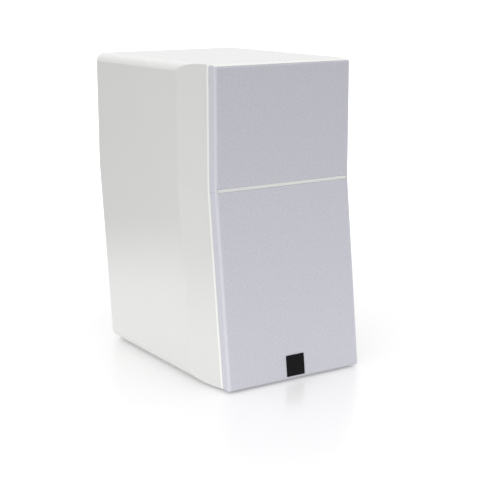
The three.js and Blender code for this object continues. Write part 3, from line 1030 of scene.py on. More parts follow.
@dataclass(frozen=True)
class Cabinet:
    """The lacquered box: walls and baffle in one skin, the lip over the grille, the rear panel and feet."""

    crease_radius: float = 25.0
    front_radius: float = 1.6
    rear_radius: float = 1.2
    cut_radius: float = 0.8
    cavity_radius: Pair = (1.0, 0.5)
    facet_stations: int = 26
    cutter_reach: float = 60.0
    cut_sides: int = 128
    overcut: float = 3.0
    lip_depth: float = 13.5
    lip_drop: float = 2.0
    lip_tip: float = 0.8
    lip_root: Pair = (3.0, 1.0)
    lip_inset: float = 0.8
    lip_radius: Pair = (0.35, 0.3)
    recess_depth: float = 5.3
    driver_cuts: tuple[tuple[Place, float, float], ...] = (
        (Place.WOOFER, 73.0, 84.4), (Place.TWEETER, 38.0, 52.4))
    sockets: Outline = ((-84, 22), (84, 22), (-84, 358), (84, 358))
    socket_radius: float = 4.0
    socket_span: Pair = (-10.0, 8.0)
    socket_sides: int = 32
    rear_gap: float = 0.3
    rear_sink: float = 0.1
    rear_ease: float = 0.5
    rear_corners: Triple = (1.2, 1.0, 0.8)
    port_hole: float = 37.0
    port_recess: Pair = (44.3, 3.3)
    port_cut: float = 40.0
    terminal_hole: Triple = (100.0, 64.0, 4.0)
    terminal_overcut: float = 5.0
    foot_dish: Outline = ((0, 0.9), (3.5, 0.9), (4.2, 0), (9.2, 0), (10, 0.9))
    foot_top: float = 9.8
    foot_screw: Outline = ((0, 0.35), (2.6, 0.5), (3.0, 1.2), (0, 1.4))

    def stations(self) -> list[tuple[float, float, float, float, float]]:
        """Works out the sections of the outside, from the back to the front.

        The back edge is a quarter circle on every side. The crease is an arc that turns by the facet's
        angle, the facet is straight, and the front edge is an arc that ends on the baffle's plane.

        Returns:
            Depth, half width, bottom, top and edge radius of each section.
        """
        wide, high, low, edge = BOX.half_width, BOX.top, BOX.base, BOX.edge_radius
        turn = np.arctan(BOX.facet_slope)
        round_back = np.linspace(np.pi / 2, 0, 5)
        made = [(BOX.rear - self.rear_radius * (1 - np.sin(a)), wide - i, low + i, high - i, edge - i)
                for a in round_back for i in [self.rear_radius * (1 - np.cos(a))]]
        crease = BOX.front + BOX.facet_depth + self.crease_radius * np.tan(turn / 2)
        made += [(crease - self.crease_radius * np.sin(a), wide - self.crease_radius * (1 - np.cos(a)),
                  low, high, edge) for a in np.linspace(0, turn, 7)]
        centre = BOX.front_half - self.front_radius * (1 - np.sin(turn)) / np.cos(turn)
        rounds = [(BOX.front + self.front_radius * (1 - np.sin(a)), centre + self.front_radius * np.cos(a),
                   low + self.front_radius * (1 - np.cos(a)), high, edge)
                  for a in np.linspace(turn, np.pi / 2, 7)]
        depths = np.linspace(made[-1][0], rounds[0][0], self.facet_stations)[1:-1]
        made += [(y, BOX.front_half + (y - BOX.front) * BOX.facet_slope, low, high, edge) for y in depths]
        return made + rounds

    def cavity(self) -> Surface:
        """Makes the room inside, with walls of one board's thickness, facets included.

        Returns:
            A shape that runs out past the open back.
        """
        wide = BOX.half_width - BOX.board
        slope = BOX.facet_slope
        reach = BOX.board * np.hypot(1, slope) - BOX.front_half
        depths = (BOX.rear + self.cutter_reach, BOX.front + (wide + reach) / slope, BOX.front + BOX.baffle)
        edge, soft = self.cavity_radius
        rows = [(y, min(wide, (y - BOX.front) * slope - reach), BOX.base + BOX.board,
                 BOX.top - BOX.board, edge) for y in depths]
        return BOX.solid(rows, soft)

    def holes(self) -> list[Surface]:
        """Makes the driver openings with their recesses, and the sockets for the grille's pins.

        Returns:
            The shapes to take away.
        """
        made = []
        for place, hole, recess in self.driver_cuts:
            outline = [(0, self.overcut), (recess, self.overcut), (recess, -self.recess_depth),
                       (hole, -self.recess_depth), (hole, -2 * BOX.baffle), (0, -2 * BOX.baffle)]
            made.append(lathe(np.array(outline, float), self.cut_sides).moved(place.value.matrix))
        radius = self.socket_radius
        low, high = self.socket_span
        socket = lathe(np.array([(0, high), (radius, high), (radius, low), (0, low)], float),
                       self.socket_sides)
        for x, z in self.sockets:
            face = BOX.front - float(BOX.lean(z))
            straight = Matrix.Translation((x, face, z)) @ Matrix.Rotation(np.pi / 2, 4, "X")
            made.append(socket.moved(straight))
        return made

    def build_skin(self) -> None:
        """Lofts the outside, hollows it and cuts the openings in the baffle."""
        skin = as_mesh("cabinet_skin", BOX.solid(self.stations(), self.cut_radius), Look.lacquer)
        cutters = [as_mesh("cavity", self.cavity(), Look.fibreboard)]
        cutters += [as_mesh("hole", hole, Look.fibreboard) for hole in self.holes()]
        carved(skin, cutters)
        smoothed(skin)
        settle(skin, "cabinet",
               ("side_left", "side_right", "top_panel", "bottom_panel", "front_baffle"))

    def build_lip(self) -> None:
        """Carries the lip's profile, a thin wedge that falls towards its tip, from side to side."""
        y, z = BOX.front, BOX.top
        behind, sunk = self.lip_root
        under = z - self.lip_drop - self.lip_tip
        tip = y - self.lip_depth
        profile = [(tip, under), (y + behind, under), (y + behind, z - sunk), (y, z),
                   (tip, z - self.lip_drop)]
        half = BOX.front_half - self.lip_inset
        along, end = self.lip_radius
        bar = slab(eased(profile, along, 4), -half, half, end)
        upright = Surface(bar.points[:, [2, 0, 1]], bar.quads, bar.faces)
        piece("front_lip", upright.outward(), Look.lacquer)

    def build_rear(self) -> None:
        """Cuts the rear panel's openings out of a bent board."""
        half = BOX.half_width - BOX.board - self.rear_gap
        low, high = BOX.base + BOX.board + self.rear_gap, BOX.top - BOX.board - self.rear_gap
        face = BOX.rear - self.rear_sink
        ease, third = self.rear_ease, self.rear_ease / 3
        flat, middle, edge = self.rear_corners
        rows = [(BOX.rear - BOX.board, half, low, high, flat),
                (face - ease, half, low, high, flat),
                (face - third, half - third, low + third, high - third, middle),
                (face, half - ease, low + ease, high - ease, edge)]
        panel = as_mesh("rear_panel_board", BOX.solid(rows, self.cavity_radius[1]), Look.lacquer)
        recess, depth = self.port_recess
        port = [(0, self.overcut), (recess, self.overcut), (recess, -depth), (self.port_hole, -depth),
                (self.port_hole, -self.port_cut), (0, -self.port_cut)]
        window = slab(rectangle(*self.terminal_hole), -2 * BOX.board, self.terminal_overcut, THIN, 2)
        cuts = [lathe(np.array(port, float), self.cut_sides).moved(Place.PORT.value.matrix),
                window.moved(Place.TERMINALS.value.matrix)]
        carved(panel, [as_mesh("opening", cut, Look.fibreboard) for cut in cuts])
        smoothed(panel)
        settle(panel, "cabinet", ("rear_panel",))

    def build_feet(self) -> None:
        """Turns each foot as a dished rubber pad with the head of its screw in the middle."""
        for node in (f"foot_{end}_{side}" for end in ("front", "rear") for side in ("left", "right")):
            low, high = (np.array(corner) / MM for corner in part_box(node))
            middle, height = (low + high) / 2, high[2] - low[2]
            dish = [*self.foot_dish, (self.foot_top, height), (0, height)]
            pad, screw = turned(dish, 0.5, 4, 64), turned(self.foot_screw, 0.2, 3, 32)
            piece(f"{node}_pad", pad.shifted(*middle[:2]), Look.rubber, stands_for=(node,))
            piece(f"{node}_screw", screw.shifted(*middle[:2]), Look.dark_steel)

    def build(self) -> None:
        """Builds the whole cabinet."""
        self.build_skin()
        self.build_lip()
        self.build_rear()
        self.build_feet()
        dress("window_brace", Look.fibreboard)


# ---- drivers -------------------------------------------------------------------------------------


@dataclass(frozen=True)
class Turning:
    """One turned piece: its name, its profile, how it is finished and the CAD node it replaces."""

    name: str
    profile: Outline
    look: Finish
    node: str
    ease: float = 0.4
    body: str = "cabinet"


@dataclass(frozen=True)
class Fitting:
    """A sub-assembly that is shaped in a part's own frame, whose +Z points out of the cabinet."""

    place: Place
    turnings: tuple[Turning, ...] = ()

    @property
    def matrix(self) -> Matrix:
        """The turn and move from the part's frame to the cabinet's."""
        return self.place.value.matrix

    def add(self, name: str, surface: Surface, look: Finish, body: str | None = "cabinet",
            stands_for: Sequence[str] = ()) -> Thing:
        """Makes one finished piece at the sub-assembly's place, as piece() does."""
        return piece(name, surface.moved(self.matrix), look, body, stands_for)

    def turn_parts(self) -> None:
        """Makes the pieces that are plain turnings."""
        for part in self.turnings:
            self.add(part.name, turned(part.profile, part.ease), part.look, part.body, (part.node,))


def screw_head(radius: float, proud: float, socket: float) -> Surface:
    """A domed screw head with a hexagon socket: its rim is a circle, which closes in to a hexagon.

    Args:
        radius: the head's radius.
        proud: how far its rim stands out.
        socket: the hexagon's width across its flats.

    Returns:
        The head, with its axis on Z.
    """
    sides, foot, floor = 36, -1.2, -0.9
    rows = [(circle(radius, sides), foot), (circle(radius, sides), proud * 0.5),
            (circle(radius * 0.93, sides), proud), (circle(radius * 0.7, sides), proud * 1.15),
            (hexagon(socket * 1.08, sides), proud * 1.15), (hexagon(socket, sides), proud * 0.9),
            (hexagon(socket, sides), floor)]
    return stacked(rows)


def ring_of(head: Surface, radius: float, count: int, start: float = 0.0) -> Surface:
    """Repeats a surface at equal steps round a circle about Z."""
    angles = start + np.arange(count) * 2 * np.pi / count
    return joined([head.shifted(x=radius).turned_about_z(float(a)) for a in angles])


def flexing(made: Thing, place: Place, moving: str, fixed_at: float, moving_at: float) -> None:
    """Bakes a round suspension's place into its mesh and works out each point's offset from its driver's
    centre.

    The offsets are not used, so the suspension is not tied to the cabinet or to the moving part.

    Args:
        made: the suspension's object.
        place: the frame of its driver.
        moving: the moving body; not used.
        fixed_at: the radius where nothing moves; not used.
        moving_at: the radius where all of the motion is taken; not used.
    """
    seat = place.value
    centre = Vector((0, seat.y, seat.z)) * MM
    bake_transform(made)
    off = points_of(made.data) / MM - np.array(centre) / MM


@dataclass(frozen=True)
class Woofer(Fitting):
    """The bass driver: cast frame, metal cone on a rubber roll, and the motor behind it."""

    place: Place = Place.WOOFER
    turnings: tuple[Turning, ...] = (
        Turning("woofer_coil", ((16.2, -25), (16.7, -25), (16.7, -45), (17.9, -45), (17.9, -57), (16.2, -57)),
                Look.copper, "woofer_voice_coil", 0.15, "woofer_moving"),
        Turning("woofer_plate", ((18.6, -45.3), (45, -45.3), (45, -51.3), (18.6, -51.3)),
                Look.steel, "woofer_top_plate", 0.8),
        Turning("woofer_ring_magnet", ((26, -51.6), (46, -51.6), (46, -67.3), (26, -67.3)),
                Look.ferrite, "woofer_magnet", 1.2),
        Turning("woofer_back_plate", ((5, -73.6), (45, -73.6), (45, -67.6), (15.6, -67.6), (15.6, -45.5),
                                      (5, -45.5)), Look.steel, "woofer_yoke", 0.8),
    )
    basket: Outline = (
        (84, 0), (84, -5), (72.6, -5), (71, -8), (47.5, -42), (47.5, -45), (24, -45), (24, -42), (40, -42),
        (40, -35), (42.5, -35), (42.5, -41.2), (45, -41.2), (68.5, -7.5), (68.5, -2.2), (77, -2.2), (77, 0))
    arms: int = 6
    window_span: Pair = (-37.0, -10.0)
    window_reach: Pair = (44, 90)
    window_half_angle: float = 20.0
    window_corner: float = 4.0
    screw: Triple = (2.7, 0.25, 2.5)
    screw_circle: float = 80.6
    strip: Triple = (15, 7, 1.2)
    strip_span: Pair = (-29.4, -20.8)
    strip_out: float = 60.2
    tag: Triple = (6, 1.0, 0.3)
    tag_length: float = 9.0
    tag_place: Triple = (3.8, 61, -21.5)
    roll_centre: float = 64.0
    roll_radius: float = 6.2
    roll_skin: float = 0.9
    roll_faces: Pair = (-1.4, -2)
    roll_ends: Pair = (76.4, 54.6)
    roll_flex: Pair = (70.4, 57.6)
    gasket: Outline = ((71.2, -1.2), (76.6, -1.2), (76.6, 0.3), (76, 0.6), (71.8, 0.6), (71.2, 0.3))
    cone_rim: Pair = (57.5, -2.2)
    cone_neck: Pair = (17.0, -25.5)
    cone_flare: float = 0.21
    cone_skin: float = 0.9
    cap_rim: Pair = (21.4, -23.2)
    cap_height: float = 8.5
    cap_skin: float = 0.8
    spider_span: Pair = (17.2, 42.2)
    spider_waves: Triple = (19, 40.5, 5)
    spider_swell: float = 1.2
    spider_height: float = -33.4
    spider_skin: float = 0.6
    spider_flex: Pair = (40.0, 18.0)

    def build_basket(self) -> None:
        """Turns the frame, and cuts a window between each two of its arms."""
        basket = as_mesh("woofer_frame", turned(self.basket, 0.5, 3, 120), Look.cast)
        low, high = self.window_span
        inner, outer = self.window_reach
        half = np.radians(self.window_half_angle)
        corners = [(inner, -half), (outer, -half), (outer, half), (inner, half)]
        wedges = []
        for i in range(self.arms):
            middle = (i + 0.5) * 2 * np.pi / self.arms + np.pi / 2
            ring = eased([(r * np.cos(middle + a), r * np.sin(middle + a)) for r, a in corners],
                         self.window_corner, 5)
            wedges.append(as_mesh("arm_window", slab(ring, low, high, THIN, 2), Look.cast))
        carved(basket, wedges)
        for matrix in (Matrix.Scale(1 / MM, 4), self.matrix, Matrix.Scale(MM, 4)):
            basket.data.transform(matrix)
        smoothed(basket)
        settle(basket, "cabinet", ("woofer_basket",))

    def build_fittings(self) -> None:
        """Builds the screws round the rim, and the strip with the two tags that the lead goes to."""
        heads = ring_of(screw_head(*self.screw), self.screw_circle, 6, np.pi / 6)
        self.add("woofer_screws", heads, Look.dark_steel)
        strip = slab(rectangle(*self.strip, 4), *self.strip_span, 0.4, 3).shifted(y=self.strip_out)
        self.add("woofer_tag_strip", strip, Look.board)
        x, y, z = self.tag_place
        tag = slab(rectangle(*self.tag, 3), 0, self.tag_length, 0.2, 3)
        tags = [tag.moved(Matrix.Translation((side * x, y, z))) for side in (-1, 1)]
        self.add("woofer_tags", joined(tags), Look.brass)

    def build_roll(self) -> None:
        """Turns the gasket and the roll, r + R cos a and z + R sin a between a flat rim and a lip."""
        a = np.linspace(0, np.pi, 28)
        top, back = self.roll_faces
        rim, lip = self.roll_ends
        small = self.roll_radius - self.roll_skin
        over = np.stack([self.roll_centre + self.roll_radius * np.cos(a),
                         top + self.roll_radius * np.sin(a)], axis=1)
        under = np.stack([self.roll_centre + small * np.cos(a[::-1]), back + small * np.sin(a[::-1])], axis=1)
        profile = np.concatenate([[(rim, top)], over, [(lip, top + 0.1), (lip, back)], under, [(rim, back)]])
        made = self.add("woofer_roll", lathe(profile, 128), Look.roll, None, ("woofer_surround",))
        flexing(made, self.place, "woofer_moving", *self.roll_flex)
        self.add("woofer_gasket", turned(self.gasket, 0.4, 4, 128), Look.gasket,
                 stands_for=("woofer_gasket_ring",))

    def build_cone(self) -> None:
        """Turns the cone, whose depth is a straight line plus a square, and its domed dust cap."""
        t = np.linspace(0, 1, 22)
        (rim, rim_z), (neck, neck_z) = self.cone_rim, self.cone_neck
        radius = neck + (rim - neck) * t
        height = neck_z + (rim_z - neck_z) * ((1 - self.cone_flare) * t + self.cone_flare * t**2)
        face = np.stack([radius, height], axis=1)
        profile = np.concatenate([face, face[::-1] - [0, self.cone_skin]])
        self.add("woofer_cone_skin", lathe(profile, 128), Look.cone, "woofer_moving", ("woofer_cone",))
        edge, z = self.cap_rim
        s = np.linspace(0, 1, 16)
        dome = np.stack([edge * s, z + self.cap_height * (1 - s**2)], axis=1)
        flange = [(edge + 0.9, z - 0.2), (edge + 0.9, z - 0.7)]
        back = s[::-1]
        under = np.stack([(edge - self.cap_skin) * back,
                          z - 0.7 + (self.cap_height - self.cap_skin) * (1 - back**2)], axis=1)
        self.add("woofer_cap", lathe(np.concatenate([dome, flange, under]), 96), Look.cone,
                 "woofer_moving", ("woofer_dust_cap",))

    def build_spider(self) -> None:
        """Turns the spider, a disc whose height is a sine of its radius, flat towards its outer edge."""
        radius = np.linspace(*self.spider_span, 90)
        start, end, waves = self.spider_waves
        wave = self.spider_swell * np.sin((radius - start) / (end - start) * waves * 2 * np.pi)
        wave = wave * np.clip((radius - 17.6) / 2, 0, 1)
        face = np.stack([radius, self.spider_height + np.where(radius > 40.4, 0, wave)], axis=1)
        profile = np.concatenate([face, face[::-1] - [0, self.spider_skin]])
        made = self.add("woofer_spider_disc", lathe(profile, 96), Look.spider, None, ("woofer_spider",))
        flexing(made, self.place, "woofer_moving", *self.spider_flex)

    def build(self) -> None:
        """Builds the whole driver."""
        self.build_basket()
        self.build_fittings()
        self.build_roll()
        self.build_cone()
        self.build_spider()
        self.turn_parts()


@dataclass(frozen=True)
class Tweeter(Fitting):
    """The treble driver: a flared faceplate, a metal dome on a small roll, and a sealed motor."""

    place: Place = Place.TWEETER
    turnings: tuple[Turning, ...] = (
        Turning("tweeter_coil", ((12.2, -12.3), (12.6, -12.3), (12.6, -18), (12.2, -18)),
                Look.copper, "tweeter_voice_coil", 0.1, "tweeter_moving"),
        Turning("tweeter_plate", ((13.2, -12.9), (29, -12.9), (29, -15.9), (13.2, -15.9)),
                Look.steel, "tweeter_top_plate", 0.5),
        Turning("tweeter_ring_magnet", ((18, -16.2), (31, -16.2), (31, -26.2), (18, -26.2)),
                Look.ferrite, "tweeter_magnet", 0.8),
        Turning("tweeter_back_plate", ((2.5, -30.5), (28, -30.5), (28, -26.5), (11.6, -26.5), (11.6, -13.2),
                                       (2.5, -13.2)), Look.steel, "tweeter_yoke", 0.5),
        Turning("tweeter_chamber", ((0, -52), (27, -52), (27, -30.8), (25, -30.8), (25, -50), (0, -50)),
                Look.moulding, "tweeter_rear_chamber", 1.5),
    )
    rim: Outline = ((37, -12.6), (37, -5), (52, -5), (52, -0.05), (49.2, -0.05), (48.7, -0.35), (44, -0.35),
                    (43.5, -0.12))
    throat: float = 16.2
    back: float = -12.6
    back_radius: float = 36.4
    flare_depth: float = 10.3
    flare_power: float = 1.55
    screw: Triple = (2.0, 0.1, 2.0)
    screw_circle: float = 46.6
    dome_rim: float = 12.6
    dome_height: float = 5.5
    skin: float = 0.5
    seat: float = -12.0
    roll_centre: float = 14.4
    roll_size: Pair = (1.2, 1.1)
    roll_ends: Pair = (16.1, 12.9)
    roll_flex: Pair = (15.6, 13.1)

    def build_faceplate(self) -> None:
        """Turns the faceplate, whose flare falls as a power of the distance from its flat rim."""
        t = np.linspace(0, 1, 26)
        mouth, height = self.rim[-1]
        flare = np.stack([mouth - (mouth - self.throat) * t, height - self.flare_depth * t**self.flare_power],
                         axis=1)
        profile = np.concatenate([eased(self.rim, 0.4, 4)[2:-2], flare,
                                  [(self.throat, self.back), (self.back_radius, self.back)]])
        self.add("tweeter_faceplate", lathe(profile, 128), Look.moulding, stands_for=("tweeter_waveguide",))
        heads = ring_of(screw_head(*self.screw), self.screw_circle, 4, np.pi / 4)
        self.add("tweeter_screws", heads, Look.dark_steel)

    def build_dome(self) -> None:
        """Turns the dome, h (1 - (r / R)^2), and the roll that holds it."""
        s, z = np.linspace(0, 1, 18), self.seat
        back = s[::-1]
        over = np.stack([self.dome_rim * s, z + self.dome_height * (1 - s**2)], axis=1)
        under = np.stack([(self.dome_rim - self.skin) * back,
                          z + (self.dome_height - self.skin) * (1 - back**2)], axis=1)
        self.add("tweeter_dome_skin", lathe(np.concatenate([over, under]), 96), Look.dome,
                 "tweeter_moving", ("tweeter_dome",))
        a = np.linspace(0, np.pi, 12)
        wide, high = self.roll_size
        rim, lip = self.roll_ends
        roll = np.stack([self.roll_centre + wide * np.cos(a), z + high * np.sin(a)], axis=1)
        profile = np.concatenate([[(rim, z)], roll, [(lip, z), (lip, z - self.skin)],
                                  (roll - [0, self.skin])[::-1], [(rim, z - self.skin)]])
        made = self.add("tweeter_roll", lathe(profile, 96), Look.roll, None, ("tweeter_surround",))
        flexing(made, self.place, "tweeter_moving", *self.roll_flex)

    def build(self) -> None:
        """Builds the whole driver."""
        self.build_faceplate()
        self.build_dome()
        self.turn_parts()


# ---- rear fittings -------------------------------------------------------------------------------


@dataclass(frozen=True)
class Port(Fitting):
    """The reflex port: a tube whose wall flares at both ends as a quarter of an ellipse."""

    place: Place = Place.PORT
    bore: float = 22.0
    wall: float = 2.5
    mouth: Pair = (38.5, 18.0)
    tail: Pair = (30.5, 16.0)
    tail_lip: float = 2.4
    length: float = 116.0
    flange: Pair = (44.0, 3.0)
    neck: Outline = ((28, -13), (36, -5))

    def build(self) -> None:
        """Turns the port from its inner end out to its flange and back along the bore."""
        a = np.linspace(0, np.pi / 2, 16)
        mouth, deep = self.mouth
        inlet = np.stack([mouth - (mouth - self.bore) * np.sin(a), -deep * (1 - np.cos(a))], axis=1)
        tail, rise = self.tail
        outlet = np.stack([self.bore + (tail - self.bore) * (1 - np.cos(a)),
                           -self.length + rise * (1 - np.sin(a))], axis=1)
        rim, thick = self.flange
        end, tube = -self.length, self.bore + self.wall
        wall = [(tail + self.tail_lip, end), (28, 8 + end), (tube, 20 + end), (tube, -22), *self.neck]
        plate = [(36.4, -thick), (rim, -thick), (rim, -0.9), (rim - 0.9, 0), (mouth + 1.0, 0)]
        profile = np.concatenate([eased(wall + plate, 1.0, 4)[2:-2], inlet, outlet])
        self.add("port_flare", lathe(profile, 128), Look.moulding, stands_for=("port_tube",))


class Pole(Enum):
    """The two sides of the signal: the sign of its X place and the finish of its grip."""

    POSITIVE = (1, Look.red)
    NEGATIVE = (-1, Look.black)


class Band(Enum):
    """The two halves of the crossover, and the sign of their place on the plate."""

    HF = -1
    LF = 1


@dataclass(frozen=True)
class Terminals(Fitting):
    """The terminal plate with its four screw terminals and the two links between them."""

    place: Place = Place.TERMINALS
    width: float = 116.0
    height: float = 80.0
    corner: float = 5.0
    faces: Pair = (0.3, 3.3)
    rim_inset: float = 12.0
    rim_rows: Outline = ((2, -0.5), (1.4, 0.5), (0.6, 0.5), (0, -0.5))
    collar: Outline = ((3.4, 1), (8.6, 1), (8.2, 5), (3.4, 5))
    pillar: Outline = ((0, -14.7), (3, -14.7), (3, 1), (0, 1))
    pillar_place: Pair = (43.0, 26.0)
    screw: Triple = (1.9, 0.3, 1.9)
    screw_inset: float = 3.4
    spacing: Pair = (19.0, 14.0)
    link: Pair = (6.5, 7.3)
    link_width: float = 10.0
    link_corner: float = 4.9
    shank: float = 3.0
    pitch: float = 1.25
    thread_depth: float = 0.28
    thread_start: float = 7.5
    tip: float = 17.6
    foot: Outline = ((0, -14.7), (2.8, -14.7), (3.0, -14.4), (3.0, 5.3), (5.2, 5.3), (5.5, 5.5), (5.5, 6.0),
                     (5.2, 6.2), (3.0, 6.2))
    washer: Outline = ((3.4, 7.6), (6.4, 7.6), (6.4, 8.6), (3.4, 8.6))
    knob: Triple = (8.9, 17.0, 7.5)
    grip_foot: Rows = ((0.6, 0.3, 0.0), (0.1, 0.5, 0.5), (0.0, 0.6, 1.0))
    grip_top: Rows = ((0.0, 0.6, 1.6), (0.3, 0.5, 0.8))
    crown: Outline = ((6.4, 0.15), (5.7, 0.0), (5.2, 0.0), (4.9, 0.5), (3.7, 0.5), (3.45, 0.7))
    bore: float = 3.4
    flutes: int = 16
    band: Pair = (1.3, 2.1)
    band_rise: float = 0.12
    band_root: float = 0.55

    def thread(self) -> np.ndarray:
        """Returns the thread's profile: the radius is a triangle wave of the height, one pitch a turn."""
        z = np.arange(self.thread_start, self.tip - 0.4, self.pitch / 2)
        return np.stack([self.shank - self.thread_depth * (np.arange(len(z)) % 2), z], axis=1)

    def build_plate(self) -> None:
        """Builds the plate with its raised rim, collars and pillars, and its screws."""
        low, front = self.faces
        width, height = self.width - self.rim_inset, self.height - self.rim_inset
        rim = [(rectangle(width + out, height + out, 4), front + up) for out, up in self.rim_rows]
        parts = [slab(rectangle(self.width, self.height, self.corner), low, front, 0.8),
                 stacked(rim, hollow=True)]
        signs = [(i, j) for i in (-1, 1) for j in (-1, 1)]
        collar = turned(self.collar, 0.5, 4, 64)
        pillar = turned(self.pillar, 0.3, 3, 24)
        for shape, (x, y) in ((collar, self.spacing), (pillar, self.pillar_place)):
            parts += [shape.shifted(i * x, j * y) for i, j in signs]
        self.add("terminal_base", joined(parts), Look.moulding, stands_for=("terminal_plate",))
        x, y = (size / 2 - self.screw_inset for size in (self.width, self.height))
        heads = [screw_head(*self.screw).shifted(i * x, j * y, front) for i, j in signs]
        self.add("terminal_screws", joined(heads), Look.dark_steel)

    def build_links(self) -> None:
        """Builds the two flat links, each with half-round ends."""
        x, y = self.spacing
        outline = rectangle(self.link_width, 2 * y + self.link_width, self.link_corner)
        for pole in Pole:
            name = pole.name.lower()
            strip = slab(outline, *self.link, 0.2).shifted(pole.value[0] * x)
            self.add(f"bridge_{name}", strip, Look.brass, stands_for=(f"link_{name}",))

    def grip(self) -> Surface:
        """Lofts the fluted grip up its outside, over its crown and down to its bore.

        Returns:
            The grip, with its axis on Z.
        """
        count = 192
        low, high, radius = self.knob
        rows = [(fluted(radius - inset, dip, self.flutes, count), low + up)
                for inset, dip, up in self.grip_foot]
        rows += [(fluted(radius - inset, dip, self.flutes, count), high - down)
                 for inset, dip, down in self.grip_top]
        rows += [(circle(ring, count), high - down) for ring, down in self.crown]
        return stacked(rows + [(circle(self.bore, count), low)], hollow=True)

    def build_post(self, band: Band, pole: Pole) -> None:
        """Builds one terminal: threaded post, washer and fluted grip, each on its own body.

        Args:
            band: which half of the crossover it serves.
            pole: which side of the signal it is.
        """
        side, look = pole.value
        name = f"{band.name.lower()}_{pole.name.lower()}"
        x, y = self.spacing
        matrix = self.matrix @ Matrix.Translation((side * x, band.value * y, 0))
        low, _, radius = self.knob
        tip = self.tip
        socket = [(2.9, tip - 0.2), (2.7, tip), (2.1, tip), (2.0, tip - 0.4), (2.0, 9), (0, 9)]
        shank = np.concatenate([self.foot, self.thread(), socket])
        washer = turned(self.washer, 0.3, 4, 64)
        start, end = (low + step for step in self.band)
        inner, outer = radius - self.band_root, radius + self.band_rise
        ring = turned([(inner, start), (outer, start), (outer, end), (inner, end)], 0.2, 3)
        for kind, surface, finish, body, nodes in (
            ("post", lathe(shank, 48), Look.brass, "cabinet", (f"post_{name}",)),
            ("washer", washer, Look.brass, f"washer_{name}", (f"washer_{name}",)),
            ("grip", self.grip(), look, f"knob_{name}", (f"knob_{name}",)),
            ("band", ring, Look.brass, f"knob_{name}", ()),
        ):
            piece(f"terminal_{kind}_{name}", surface.moved(matrix), finish, body, nodes)

    def build(self) -> None:
        """Builds the plate, its links and its four terminals."""
        self.build_plate()
        self.build_links()
        for band in Band:
            for pole in Pole:
                self.build_post(band, pole)


@dataclass(frozen=True)
class Crossover(Fitting):
    """The crossover on the back of the terminal plate: board, two chokes, two capacitors, one resistor."""

    place: Place = Place.TERMINALS
    board_front: float = -15.0
    board_thick: float = 1.6
    board_size: Triple = (96, 60, 3)
    clearance: float = 0.3
    bulge: float = 1.0
    flange: float = 0.9
    resistor: Triple = (9, 22, 1.2)
    resistor_span: Pair = (8.5, 0.3)
    resistor_place: Pair = (2.5, -17)

    @property
    def back(self) -> float:
        """The height of the board's back face, which everything stands on."""
        return self.board_front - self.board_thick

    def wound(self, name: str, node: str, inner: float, outer: float, height: float, x: float,
              y: float) -> None:
        """Builds a choke: a winding with bulging sides between two flanges.

        Args:
            name: the winding's name.
            node: the CAD node that it replaces.
            inner: the winding's bore radius.
            outer: its outer radius.
            height: how far it stands off the board.
            x: its place along the plate.
            y: its place up the plate.
        """
        top = self.back - self.clearance
        swell = np.linspace(-1, 1, 9)
        along = top - height / 2 + swell * (height / 2 - 1.2)
        side = np.stack([outer - self.bulge * swell**2, along], axis=1)
        profile = np.concatenate([side, [(inner, side[-1, 1]), (inner, side[0, 1])]])
        matrix = self.matrix @ Matrix.Translation((x, y, 0))
        piece(name, lathe(profile, 64).moved(matrix), Look.copper, stands_for=(node,))
        bore = inner - 0.6
        flanges = [turned([(bore, z), (outer, z), (outer, z + self.flange), (bore, z + self.flange)],
                          0.3, 3, 64) for z in (top - height, top - self.flange)]
        piece(f"{name}_flanges", joined(flanges).moved(matrix), Look.moulding)

    def can(self, name: str, node: str, radius: float, length: float, x: float, y: float) -> None:
        """Builds a capacitor lying on its side: a rolled can with rounded ends and a crimped groove.

        Args:
            name: the can's name.
            node: the CAD node that it replaces.
            radius: its radius.
            length: its length.
            x: its place along the plate.
            y: its place up the plate.
        """
        half, edge = length / 2, 0.6
        groove = (radius, half - 4.6), (radius - 0.7, half - 4), (radius, half - 3.4)
        can = turned([(0, -half), (radius - edge, -half), (radius, -half + 0.8), *groove,
                      (radius, half - 0.8), (radius - edge, half), (0, half)], edge, 4, 64)
        top = self.back - self.clearance - radius
        matrix = (self.matrix @ Matrix.Translation((x, y, top))
                  @ Matrix.Rotation(np.pi / 2, 4, "Y"))
        piece(name, can.moved(matrix), Look.sleeve, stands_for=(node,))

    def build(self) -> None:
        """Builds the board and what stands on it."""
        board = slab(rectangle(*self.board_size), self.back, self.board_front, 0.15, 3)
        self.add("crossover_plate", board, Look.board, stands_for=("crossover_board",))
        self.wound("choke_large", "crossover_inductor_large", 10, 21, 20, -25, 7)
        self.wound("choke_small", "crossover_inductor_small", 7, 14.5, 15, 25, -9)
        self.can("capacitor_can_large", "crossover_capacitor_large", 9, 36, 23, 20)
        self.can("capacitor_can_small", "crossover_capacitor_small", 6.5, 28, -24, -22)
        far, near = self.resistor_span
        block = slab(rectangle(*self.resistor, 4), self.back - far, self.back - near, 0.6, 3)
        self.add("resistor_block", block.shifted(*self.resistor_place), Look.ceramic)


